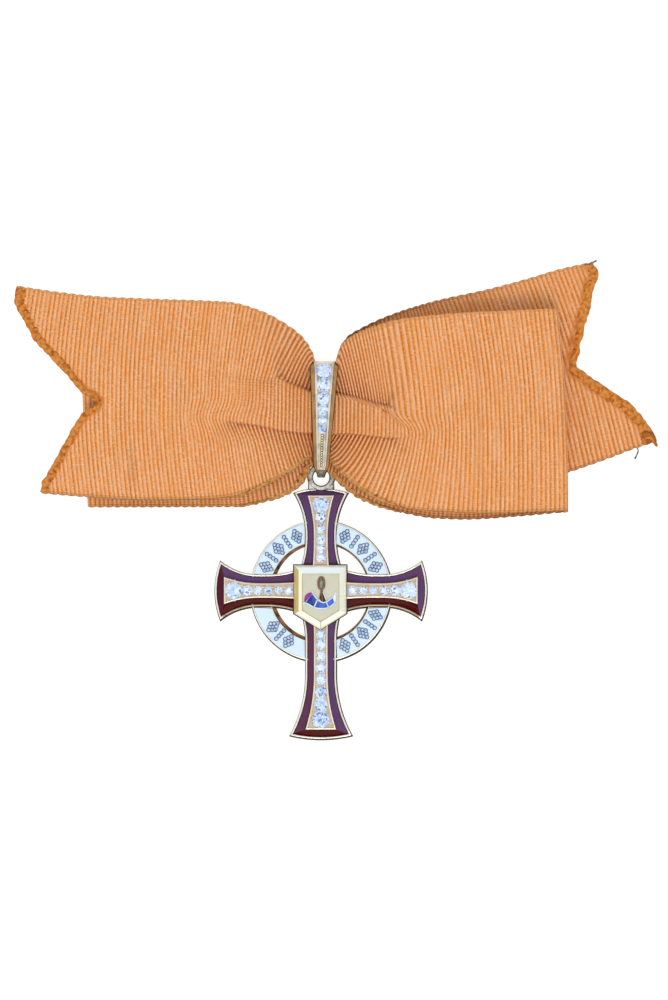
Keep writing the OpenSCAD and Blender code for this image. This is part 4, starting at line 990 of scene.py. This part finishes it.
def makeCross():
    # 0 pale gold, 1 warm gold, 2 patina and painted shade on the walls and dark lines,
    # 3 the wheel's inner wall in painted shade, 4 ring, 5 rims, 6 rims in painted shade
    look = crossLook
    gold = Shape()
    rimWidth, top = look["rimWidth"], look["rimHeight"]
    floor, fieldTop, fieldRim = look["fieldFloor"], look["fieldHeight"], look["fieldRim"]
    for arm in arms.values():
        # The outer wall leans out towards the foot of the picture so that it shows, dark with painted shade.
        gold.loft([armRing(arm, inset, z) + (1 - share) * np.array(look["wallLean"]) for inset, z, share in (
            (0.03, 0, 0), (-0.01, 0.1, 0), (0.02, 0.9, 0.3), (0.17, top - 0.04, 1))], 2, firstCap=True)
        first = len(gold.kinds)
        rim = loftArm(gold, arm, ((0.17, top - 0.04), (0.22, top), (rimWidth - 0.14, top),
                                  (rimWidth - 0.08, top - 0.04)), 5)
        if arm.turn in (90, -90):     # painted shade: the rims along the foot of the side arms are darker
            along = np.roll(rim[0], -1, 0) - rim[0]
            shady = np.tile(along[:, 0] > 0.8 * np.linalg.norm(along, axis=1), 3)
            for k in np.flatnonzero(shady):
                gold.kinds[first + k] = 6
        loftArm(gold, arm, ((rimWidth - 0.08, top - 0.04), (rimWidth + 0.06, 0.95)), 2)
        loftArm(gold, arm, ((-0.06, 1.0), (-0.02, fieldTop - 0.1)), 2, True)
        loftArm(gold, arm, ((-0.02, fieldTop - 0.1), (0.03, fieldTop - 0.02), (0.08, fieldTop),
                            (fieldRim + 0.02, fieldTop),
                            (fieldRim + 0.05, fieldTop - 0.05)), 0, True)
        loftArm(gold, arm, ((fieldRim + 0.05, fieldTop - 0.05), (fieldRim + 0.05, floor)), 1, True,
                lastCap=True)
        # Grains between the stones, and six in the corners of the end.
        for (before, size), (after, nextSize) in zip(arm.stones, arm.stones[1:]):
            between = (before + size + after - nextSize) / 2
            for s in (-1, 1):
                aside = s * 0.66 * (size + nextSize) / 2 + 0.1 * s
                for dy in (-0.156, 0.156):
                    bead(gold, turned((aside, between + dy, floor), arm.turn), 0.15 + 0.04 * rng.random())
        for s in (-1, 1):
            for dx, dy in ((0.62, 0.55), (0.95, 1.0), (0.62, 1.9)):
                bead(gold, turned((s * (arm.fieldEndHalf - dx), arm.fieldReach - dy, floor), arm.turn), 0.18)
    # The wheel, its inner wall sloping so that it shows from above, its walls dark with painted shade.
    outer, inner, wheelTop = look["wheelOuter"], look["wheelInner"], look["wheelHeight"]
    upper, lower, enamelled = (np.array(look[key]) for key in ("wheelUpper", "wheelLower", "wheelEnamel"))
    for profile, kind in (
            ([(outer - 0.14, wheelTop - 0.04, upper), (outer - 0.2, wheelTop, upper),
              (outer - 0.36, wheelTop, upper), (outer - 0.4, wheelTop - 0.06, upper),
              (outer - 0.4, 0.9, upper), (inner + 0.6, 0.9, enamelled),
              (inner + 0.6, wheelTop - 0.06, enamelled), (inner + 0.56, wheelTop, enamelled),
              (inner + 0.5, wheelTop, enamelled)], 5),
            ([(inner + 0.5, wheelTop, enamelled), (inner + 0.42, wheelTop - 0.08, enamelled),
              (inner + 0.38, 0.9, enamelled)], 2),
            ([(inner + 0.38, 0.9, enamelled), (inner + 0.1, 0.6, (enamelled + 3 * lower) / 4),
              (inner + 0.05, 0.4, lower)], 3),
            ([(inner + 0.05, 0.4, lower), (inner, 0.2, lower), (outer, 0.2, lower),
              (outer + 0.04, 0.3, lower), (outer + 0.02, 0.9, (upper + 2 * lower) / 3),
              (outer - 0.14, wheelTop - 0.04, upper)], 2)):
        lathe(gold, profile, 180, kind)
    # The ring at the top, and its two feet on the arm.
    ringX, ringY, ringZ = look["ring"]
    for profile, kind in (([(1.62, 0.2), (1.72, 0.36), (2.2, 0.36), (2.3, 0.2)], 4),
                          ([(2.3, 0.2), (2.42, 0.05), (2.52, -0.3), (1.46, -0.3), (1.55, 0.05),
                            (1.62, 0.2)], 2)):
        lathe(gold, [(r, ringZ + z) for r, z in profile], 64, kind, (ringX, ringY))
    for s in (-1, 1):
        outline = np.array([(0.4, 18.1), (2.38, 18.1), (2.34, 19.2), (2.4, 20.2), (1.9, 19.6), (1.35, 18.9),
                            (0.4, 18.6)])
        outline = outline * [s, 1] + [ringX, 0]
        prism(gold, outline, 0.9, 1.5, 2, 0.02)
        prism(gold, outline.mean(0) + (outline - outline.mean(0)) * 0.8, 1.45, 1.62, 4, 0.05)
    gold.build("goldCross", ["paleGold", "warmGold", "patinaAndShade", "shadedInnerWall", "ringSilver", "rimGold",
                             "rimShade"], ("cross_body",), "gold", sharp=40)


def makeArmEnamel():
    look = crossLook
    low, high, bed = look["enamelLow"], look["enamelHigh"], 0.87
    for name, arm in arms.items():
        shape = Shape()
        outer, inner = armRing(arm, look["rimWidth"] + 0.04, 0), armRing(arm, -0.035, 0, True)
        rings = [outer + [0, 0, bed]]
        for share in (0, 0.06, 0.2, 0.4, 0.6, 0.8, 0.94, 1.0):
            swell = look["enamelSwell"] * math.sin(math.pi * share) ** 0.8 if 0 < share < 1 else 0
            rings.append(outer + (inner - outer) * share + [0, 0, low + (high - low) * share + swell])
        rings += [inner + [0, 0, bed], rings[0]]
        shape.loft(rings)
        # Painted shade by facing: the bands that face the foot of the picture are painted dark red, the
        # others purple.
        along = np.roll(outer, -1, 0) - outer
        along /= np.maximum(np.linalg.norm(along, axis=1, keepdims=True), 1e-9)
        aside = {"top": 0, "left": 0.66}.get(name, 0.5) * smoothStep(0.6, 0.85, -along[:, 1])
        shape.tints = np.maximum(smoothStep(0.55, 0.8, along[:, 0]), aside).tolist() * (len(rings) - 1)
        shape.build("redEnamel_" + name, ["redEnamel"], ("arm_enamel_" + name,), "red_enamel", sharp=35)


def makeWheelEnamel():
    inner, outer = crossLook["wheelInner"] + 0.6, crossLook["wheelOuter"] - 0.42
    low, upper = np.array(crossLook["wheelEnamel"]), np.array(crossLook["wheelUpper"])
    order, count = ["right", "top", "left", "bottom"], 40
    for n in range(4):
        columns = []
        for r in np.linspace(inner, outer, 9):
            bounds = []      # the angles that the two arms take up
            for arm in (arms[order[n]], arms[order[(n + 1) % 4]]):
                half = arm.half
                for _ in range(3):
                    half = float(sideX(math.sqrt(r * r - half * half), -0.02, *rimShape(arm)))
                bounds.append(math.asin(half / r))
            angles = np.linspace(math.pi / 2 * n + bounds[0], math.pi / 2 * (n + 1) - bounds[1], count)
            share = (r - inner) / (outer - inner)
            middle = low * (1 - share) + upper * share
            columns.append(np.column_stack([r * np.cos(angles) + middle[0], r * np.sin(angles) + middle[1],
                                            np.full(count, 1.2 + 0.07 * math.sin(math.pi * share) ** 0.5)]))
        foot = [c * [1, 1, 0] + [0, 0, 0.72] for c in (columns[0], columns[-1])]
        shape = Shape()
        shape.loft([foot[0], *columns, foot[1], foot[0]], closed=False)
        shape.build("paleEnamel_%d" % (n + 1), ["whiteEnamel"], ("wheel_enamel_%d" % (n + 1),),
                    "white_enamel", sharp=40)


def facets(shape, place, radius, crown=0.34, table=0.56, pavilion=0.45, count=8):
    # A cut stone: table, stars, kites and girdle facets, each with its own tint. place maps local points.
    spin = rng.random() * math.pi

    def ring(r, z, n, shift=0.0):
        angles = [spin + shift + 2 * math.pi * i / n for i in range(n)]
        return [place((r * radius * math.cos(a), r * radius * math.sin(a), z * radius)) for a in angles]
    points = (ring(table, crown, count) + ring(0.8, 0.6 * crown, count, math.pi / count)
              + ring(1, 0.03, 2 * count) + ring(1, -0.05, 2 * count) + ring(0.2, -pavilion, 2 * count))
    # where the ring below the table, the girdle, the lower girdle and the foot start
    m, g, b, f = count, 2 * count, 4 * count, 6 * count
    faces = [tuple(range(count))]
    for i in range(count):
        j = (i + 1) % count
        faces.append((i, m + i, j))
        faces.append((i, m + (i - 1) % count, g + 2 * i, m + i))
        faces.append((m + i, g + 2 * i, g + 2 * i + 1))
        faces.append((m + i, g + 2 * i + 1, g + (2 * i + 2) % (2 * count)))
    for i in range(2 * count):
        j = (i + 1) % (2 * count)
        faces.append((g + i, b + i, b + j, g + j))
        faces.append((b + i, f + i, f + j, b + j))
    faces.append(tuple(f + i for i in range(2 * count - 1, -1, -1)))
    shape.add(points, faces, tints=[float(v) for v in rng.random(len(faces))])


def makeArmStones():
    shape = Shape()
    for arm in arms.values():
        for distance, radius in arm.stones:
            facets(shape, lambda p, arm=arm, distance=distance: turned(
                (p[0], distance + p[1], crossLook["fieldFloor"] + p[2]), arm.turn), radius * 1.13)
    nodes = ["stone_%s_%d" % (name, k + 1) for name, arm in arms.items() for k in range(len(arm.stones))]
    shape.build("armDiamonds", ["diamond"], nodes, "diamond", smooth=False)


# Lozenges and short upright rows of little stones in turn, on dark plates. Each quadrant has its middle in
# degrees, the number of figures and the degrees between them. A figure is (stones in each row, row height).
ornamentLook = {
    "quadrants": [(45, 5, 10.6), (135, 5, 10.6), (227, 3, 10.2), (315, 5, 10.6)],
    "figures": [((1, 2, 3, 2, 1), 0.5), ((1, 1, 1, 1), 0.66)], "stoneStep": 0.68, "plate": 0.43,
    "plateLow": 1.2, "plateTop": 1.33, "stone": 0.27,
}


def makeOrnament():
    look = ornamentLook
    plates, sparks = Shape(), Shape()
    middle = (crossLook["wheelOuter"] + crossLook["wheelInner"] + 0.1) / 2
    low, top, wide = look["plateLow"], look["plateTop"], look["plate"]
    for mid, count, step in look["quadrants"]:
        for m in range(count):
            angle = mid + (m - (count - 1) / 2) * step
            rows, rowStep = look["figures"][m % 2]
            for k, inRow in enumerate(rows):
                for i in range(inRow):
                    x = (i - (inRow - 1) / 2) * look["stoneStep"]
                    y = middle + (k - (len(rows) - 1) / 2) * rowStep
                    spot = turned((x, y), angle - 90) + crossLook["wheelUpper"]
                    lathe(plates, [(wide, low), (wide, top - 0.04), (wide - 0.05, top), (0.01, top)], 10,
                          centre=spot)
                    facets(sparks, lambda p, s=spot: (s[0] + p[0], s[1] + p[1], top + p[2]), look["stone"],
                           0.4, 0.5, 0.1, 5)
    plates.build("sparkPlates", ["greySilver"], (), "gold", sharp=40)
    sparks.build("wheelSparks", ["smallDiamond"], ("wheel_stones",), "diamond", smooth=False)


# Shield with the horn.
shieldLook = {"centre": -0.09, "half": 4.71, "top": 4.52, "shoulder": 4.16, "point": 7.08, "base": 2.05,
              "height": 3.4, "sink": 0.2, "border": 1.36, "step": 0.32, "outline": 0.2}
# The horn's two edges as (station, x) and (station, y), from the mouth to the tip.
hornInner = ([(0, -1.45), (1, -1.05), (2, -0.45), (3, 0.1), (4, 0.6), (5, 1.15), (6, 1.75), (7, 2.25),
              (8, 2.5)],
             [(0, -0.4), (1, -0.98), (2, -1.62), (3, -1.98), (4, -2.08), (5, -1.86), (6, -1.45), (7, -0.98),
              (8, -0.32)])
hornOuter = ([(0, -2.9), (1, -2.3), (2, -1.35), (3, -0.5), (4, 0.4), (5, 1.3), (6, 2.05), (7, 2.65),
              (8, 2.88)],
             [(0, -2.25), (1, -2.5), (2, -3.05), (3, -3.28), (4, -3.32), (5, -3.15), (6, -2.72), (7, -1.9),
              (8, -0.32)])
# Where the horn's bands lie, as stations on its inner and its outer edge, and the width of its frame.
hornStations, hornFrame = ((0, 0), (1.85, 2.1), (4.6, 5.2), (6.8, 6.7), (8, 8)), 0.17


def shieldRing(inset, z):
    look = shieldLook
    inward = max(inset, 0) / look["border"]
    half, top = look["half"] - inset, look["top"] - inset - 0.12 * inward
    middle = look["centre"] + 0.08 * inward
    fall = (look["point"] - look["shoulder"]) / look["half"]
    point = -look["point"] + inset * 1.04
    return [(middle + half, top, z), (middle - half, top, z),
            (middle - half, point + half * fall, z), (middle, point, z),
            (middle + half, point + half * fall, z)]


def prism(shape, outline, low, high, kind=0, edge=0.05):
    outline = np.asarray(outline, float)
    inner = outline + (outline.mean(0) - outline) / np.maximum(
        np.linalg.norm(outline.mean(0) - outline, axis=1, keepdims=True), 1e-6) * edge
    shape.loft([np.column_stack([outline, np.full(len(outline), low)]),
                np.column_stack([outline, np.full(len(outline), high - edge)]),
                np.column_stack([inner, np.full(len(outline), high)])], kind, firstCap=True, lastCap=True)


def hornBand(start, stop, inset, count):
    share = np.linspace(0, 1, count)
    inner, outer = (np.column_stack([eased(table, start[n] + (stop[n] - start[n]) * share) for table in edge])
                    for n, edge in enumerate((hornInner, hornOuter)))
    across = (outer - inner) / np.linalg.norm(outer - inner, axis=1, keepdims=True)
    return [*(outer - across * inset), *(inner + across * inset)[::-1]]


def makeShield():
    # 0 pale gold, 1 warm gold, 2 field, 3 deep gold, 4 bright, 5 silver, 6 cord, 7 a painted highlight on the
    # cord,
    # 8 patina and painted shade: the dark outline, the cord's fan and a bead at the horn's tip, 9 ground of
    #                             the loop,
    # 10 the palest, 11 straw, 12 cream. The bevels' colours are painted reflection and shade.
    look = shieldLook
    height, field = look["height"], look["height"] - look["sink"]
    border, frameHeight = look["border"], field + 0.26
    shape = Shape()
    rings = [shieldRing(inset, z) for inset, z in (
        (-look["outline"], look["base"]), (-0.02, height - 0.85), (0.03, height - 0.78),
        (look["step"], height - 0.35), (0.76, height - 0.2), (border - 0.06, height), (border, height),
        (border + 0.08, field))]
    # A row for each bevel. Sides run top, left, left foot, right foot, right. Each side has its own colour as
    # painted reflection and shade: the dark outline first, then bright, straw, cream and warm bevels.
    kinds = [(8, 8, 8, 8, 8), (4, 11, 8, 8, 3), (4, 11, 4, 12, 4), (10, 1, 4, 12, 0), (10, 12, 4, 4, 0),
             (0, 11, 1, 1, 0), (2, 2, 2, 2, 2)]
    for k, row in enumerate(kinds):
        for side, kind in enumerate(row):
            a, b = side, (side + 1) % 5
            shape.add([rings[k][a], rings[k][b], rings[k + 1][b], rings[k + 1][a]], [(0, 1, 2, 3)], kind)
    shape.add(rings[-1], [(0, 1, 2, 3, 4)], 2)
    shape.add(rings[0], [(4, 3, 2, 1, 0)], 3)
    ridge = [(look["centre"] + x, y) for x, y in ((-0.03, -5.75), (0.05, -5.75), (0.04, -6.9), (-0.02, -6.9))]
    prism(shape, [(x + 0.08, y) for x, y in ridge], height - 1, height + 0.02, 3, 0.01)
    ends = hornStations[0], hornStations[4]
    prism(shape, hornBand(*ends, 0.03, 40), field - 0.1, field + 0.12, 5, 0.04)
    # Silver bands round the panels: along both edges and between them.
    for station in hornStations:
        low, high = ([min(max(at + step, 0), 8) for at in station] for step in (-0.12, 0.12))
        prism(shape, hornBand(low, high, 0.02, 4), field, frameHeight, 5, 0.04)
    outer, inner = (np.array(hornBand(ends[0], hornStations[3], inset, 40)) for inset in (0, hornFrame))
    for strip in ((outer[:40], inner[:40][::-1]), (inner[40:], outer[40:][::-1])):
        prism(shape, np.concatenate(strip), field, frameHeight, 5, 0.03)
    prism(shape, hornBand(hornStations[3], ends[1], 0.02, 10), field, frameHeight - 0.02, 5, 0.06)
    for spot, size, kind in (((-1.47, -0.3), 0.19, 5), ((-2.98, -2.26), 0.2, 5), ((2.66, -0.72), 0.1, 8)):
        bead(shape, (*spot, frameHeight - 0.06), size, kind, 3, 10, 0.5)
    # The cord: an oval loop over a dark ground, and ends that fan out down to the horn.
    loopPoints = [(0.1 + 0.53 * math.cos(a), 1.3 + 1.08 * math.sin(a) * abs(math.sin(a)) ** -0.15)
                  for a in np.linspace(0.01, 2 * math.pi + 0.01, 33)[:-1]]
    prism(shape, loopPoints, field - 0.02, field + 0.04, 9, 0.02)
    tube(shape, [(x, y, field + 0.08) for x, y in loopPoints], 0.21, 6, closed=True)
    # A painted highlight: a thin silver line along part of the loop.
    tube(shape, [(x, y, field + 0.2) for x, y in loopPoints[2:14]], 0.08, 7)
    prism(shape, [(0.02, 0.3), (-0.28, -1.3), (0.1, -1.95), (0.55, -2.05), (0.98, -1.8), (0.36, 0.0)],
          field - 0.02, field + 0.06, 8, 0.02)
    along = np.linspace(0, 1, 10)
    for x, y in ((-0.25, -1.5), (0.32, -1.95)):
        tube(shape, [(0.1 + (x - 0.1) * t, 0.25 + (y - 0.25) * t, field + 0.09) for t in along], 0.11, 6)
    tube(shape, [(0.35 + 0.62 * t, -0.2 - 1.6 * t, field + 0.12) for t in along], 0.07, 5)
    shape.build("goldShield", ["shieldGold", "shieldWarm", "shieldFieldGold", "deepGold", "shieldBright",
                               "silver", "cordBronze", "ringSilver", "patinaAndShade", "cordShade", "shieldPale",
                               "shieldStraw", "shieldCream"], ("shield",), "gold", sharp=12)
    for n in range(3):
        panel = Shape()
        low, high = [at + 0.14 for at in hornStations[n]], [at - 0.14 for at in hornStations[n + 1]]
        prism(panel, hornBand(low, high, hornFrame + 0.01, 12), field + 0.02, field + 0.24, 0, 0.06)
        panel.build("hornBlue_%d" % (n + 1), ["blueStone%d" % (n + 1)], ("horn_panel_%d" % (n + 1),),
                    "blue_stone", sharp=30)
    mouth = Shape()
    prism(mouth, lens(0.03), field + 0.02, field + 0.3, 0, 0.1)
    mouth.build("hornMouthRed", ["redStone"], ("horn_mouth",), "red_stone", sharp=30)


def lens(grow):  # the outline of the horn's mouth
    half, bulge, hollow = 1.1 + grow, 0.62 + grow, 0.14 + grow
    s = np.linspace(-1, 1, 15)
    right = np.column_stack([bulge * (1 - s ** 2), half * s])
    left = np.column_stack([-hollow * (1 - s[1:-1] ** 2), half * s[1:-1]])[::-1]
    return turned(np.concatenate([right, left]), 139.5) + [-2.17, -1.23]


def tube(shape, points, radius, kind=0, count=8, closed=False):
    points = np.asarray(points, float)
    tangent = np.gradient(points, axis=0)
    if closed:
        tangent = np.roll(points, -1, 0) - np.roll(points, 1, 0)
    tangent /= np.linalg.norm(tangent, axis=1, keepdims=True)
    side = np.cross(tangent, [0, 0, 1])
    side /= np.maximum(np.linalg.norm(side, axis=1, keepdims=True), 1e-9)
    up = np.cross(side, tangent)
    angle = np.arange(count) * 2 * math.pi / count
    rings = [p + radius * (np.cos(angle)[:, None] * s + np.sin(angle)[:, None] * u)
             for p, s, u in zip(points, side, up)]
    if closed:
        rings.append(rings[0])
    shape.loft(rings, kind, firstCap=not closed, lastCap=not closed)


# Bail. Its stones are (height in the picture, radius).
bailLook = {"top": 41.4, "foot": 20.3, "wide": 5.2, "narrow": 2.6, "height": 7.2, "front": 1.1, "back": 0.7,
            "lean": 1.6, "topRadius": 3.6, "footRadius": 1.4, "face": (0.56, 0.70), "flank": 0.9, "rim": 0.44,
            "sink": 0.34,
            "stones": [(39.6, 1.42), (37.0, 1.25), (34.5, 1.1), (32.4, .98), (30.5, .82), (28.9, .7)]}


def bailPath():
    # Side view of the band as (y, z, outward y, outward z), up the back, over the top and down the front.
    look = bailLook
    path = []

    def arc(y, z, radius, start, end, count):
        for a in np.linspace(math.radians(start), math.radians(end), count):
            path.append((y + radius * math.cos(a), z + radius * math.sin(a), math.cos(a), math.sin(a)))
    topRadius, footRadius = look["topRadius"], look["footRadius"]
    high, low = look["top"] - topRadius, look["foot"] + footRadius
    for y in np.linspace(low, high, 24)[:-1]:
        path.append((y, 0.0, 0.0, -1.0))
    arc(high, topRadius, topRadius, -90, 90, 25)
    for y in np.linspace(high, low, 44)[1:-1]:
        path.append((y, look["height"], 0.0, 1.0))
    arc(low, look["height"] - footRadius, footRadius, 90, 180, 9)
    arc(low, footRadius, footRadius, 180, 270, 9)
    return path[:-1]


def bailPlace(p):
    x, y = turned((p[0], p[1] - bailLook["foot"]), -bailLook["lean"])
    return (0.05 + x, bailLook["foot"] + y, p[2])


def makeBail():
    look = bailLook
    shape = Shape()
    path = bailPath()
    rings = []
    for y, z, outY, outZ in path:
        share = (y - look["foot"]) / (look["top"] - look["foot"])
        half = (look["narrow"] + (look["wide"] - look["narrow"]) * share) / 2 * (
            0.5 + 0.5 * float(smoothStep(20.2, 22.7, y)))
        front = float(smoothStep(-0.6, 0.75, outZ)) if z > 1 else 0.0
        thick = look["back"] + (look["front"] - look["back"]) * front
        face = half * (1 - (1 - look["face"][0] - (look["face"][1] - look["face"][0]) * share) * front)
        flank = min(0.12 + (look["flank"] - 0.12) * front, thick - 0.08)
        sink = (0.03 + (look["sink"] - 0.03) * front) * float(smoothStep(21.2, 22.2, y))
        rim = min(look["rim"], 0.3 * face)
        line = min(0.12, 0.3 * (half - face))
        section = [(-half, -thick), (-half, -flank), (-half + line, -flank + line), (-face - 0.05, -0.1),
                   (-face + 0.02, -0.01), (-face + 0.08, 0), (-face + rim - 0.03, 0), (-face + rim, -0.03),
                   (-face + rim + 0.02, -sink)]
        section += [(-x, n) for x, n in section[::-1]]
        rings.append([bailPlace((x, y + outY * n, z + outZ * n)) for x, n in section])
    # 0 pale rims, 1 flanks and inside, 2 floor behind the stones, 3 dark lines of painted shade, 5 the dull
    # foot
    kinds = [3, 3, 1, 3, 0, 0, 0, 3, 2, 3, 0, 0, 0, 3, 1, 3, 3, 1]
    count = len(kinds)
    for k, (ring, following) in enumerate(zip(rings, rings[1:] + rings[:1])):
        for j, kind in enumerate(kinds):
            # Painted shade: the flanks at the top and the foot of the band, facing up or down the picture, go
            # dark.
            dark = j < count - 1 and abs(path[k][2] + 0.02) > (0.9 if kind == 1 else 2)
            dull = kind in (0, 2) and path[k][0] < 22.0
            shape.add([ring[j], ring[(j + 1) % count], following[(j + 1) % count], following[j]],
                      [(0, 1, 2, 3)], 3 if dark else 5 if dull else kind)
    for k in range(14):      # a row of beads, each on a dark disc of painted shade in its hollow
        p = bailPlace((0, 27.85 - 0.44 * k, look["height"] - look["sink"] + 0.02))
        bead(shape, p, 0.29 - 0.004 * k, 3, 1, 10, 0.2)
        bead(shape, p, 0.2 - 0.003 * k, 4, 3, 8)
    shape.build("goldBail", ["bailRim", "bailWarm", "bailFloor", "patinaAndShade", "milgrainGold", "bailEnd"],
                ("bail",), "gold", sharp=32, merged=2e-6)
    stones = Shape()
    # Above the bend the stones lean back.
    bend, topRadius = look["top"] - look["topRadius"], look["topRadius"]
    for y, radius in look["stones"]:
        tip = math.asin((y - bend) / topRadius) if y > bend else 0.0

        def place(p, y=y, tip=tip):
            up = topRadius - 0.12 + p[2]
            return bailPlace((p[0], min(y, bend) + p[1] * math.cos(tip) + up * math.sin(tip),
                              topRadius - p[1] * math.sin(tip) + up * math.cos(tip)))
        facets(stones, place, radius * 1.06)
    stones.build("bailDiamonds", ["diamond"], ["bail_stone_%d" % (k + 1) for k in range(6)], "diamond",
                 smooth=False)


makeCross()
makeArmEnamel()
makeWheelEnamel()
makeArmStones()
makeOrnament()
makeShield()
makeBail()
for slot in bpy.data.objects["brooch_pin"].material_slots:
    slot.material = materials["pinSteel"]
print("metal ready")

# Floor, light and camera. The frame's width is at the floor. A softbox has its place, size, power and colour.
stageLook = {
    "floorColour": (0.24, 0.24, 0.24), "floorGlow": 0.88, "floorHalf": 3.0, "floorLevel": -0.0002,
    "sky": [(0.0, (0.26, 0.26, 0.27)), (0.4, (0.46, 0.46, 0.47)), (0.7, (0.82, 0.84, 0.86)),
            (1.0, (0.80, 0.81, 0.82))],
    "frameWidth": 0.12024, "distance": 1.1, "cameraAt": (-0.00016, 0.00019, 1.102),
    "footSoftbox": ((0.1, -0.58, 0.98), 0.5, 4.95, (1.0, 0.99, 0.97)),
    "leftSoftbox": ((-0.9, 0.3, 0.55), 0.4, 1.6, (1.0, 0.98, 0.95)),
    "rightSoftbox": ((0.9, 0.2, 0.7), 0.4, 1.2, (0.95, 0.98, 1.0)),
}


def makeStage():
    look, scene = stageLook, bpy.context.scene
    tree, shader = newMaterial("paleFloor")
    fill(tree, shader, {"Base Color": look["floorColour"], "Roughness": 0.9, "Emission Color": (1, 1, 1),
                        "Emission Strength": look["floorGlow"]})
    half, level = look["floorHalf"], look["floorLevel"]
    mesh = bpy.data.meshes.new("floor")
    corners = [(x * half, y * half, level) for x, y in ((-1, -1), (1, -1), (1, 1), (-1, 1))]
    mesh.from_pydata(corners, [], [(0, 1, 2, 3)])
    mesh.materials.append(materials["paleFloor"])
    floor = bpy.data.objects.new("floor", mesh)
    scene.collection.objects.link(floor)

    scene.world = bpy.data.worlds.new("studio")
    scene.world.use_nodes = True
    tree = scene.world.node_tree
    direction = node(tree, "ShaderNodeSeparateXYZ",
                     {0: node(tree, "ShaderNodeTexCoord").outputs["Generated"]})
    fill(tree, tree.nodes["Background"], {0: ramp(tree, direction.outputs[2], look["sky"]), 1: 1.0})

    for name in ("footSoftbox", "leftSoftbox", "rightSoftbox"):
        data = bpy.data.lights.new(name, "AREA")
        place, data.size, data.energy, data.color = look[name]
        light = bpy.data.objects.new(name, data)
        light.location = place
        light.rotation_euler = (-Vector(place)).to_track_quat("-Z", "Y").to_euler()
        scene.collection.objects.link(light)

    data = bpy.data.cameras.new("camera")
    data.sensor_fit = "VERTICAL"
    data.angle_y = 2 * math.atan(look["frameWidth"] * 1000 / 668 / 2 / look["distance"])
    data.clip_start, data.clip_end = 0.05, 20
    camera = bpy.data.objects.new("camera", data)
    camera.location = look["cameraAt"]
    scene.collection.objects.link(camera)
    scene.camera = camera
    scene.view_settings.view_transform = "Standard"
    scene.view_settings.look = "None"


makeStage()
print("stage ready")
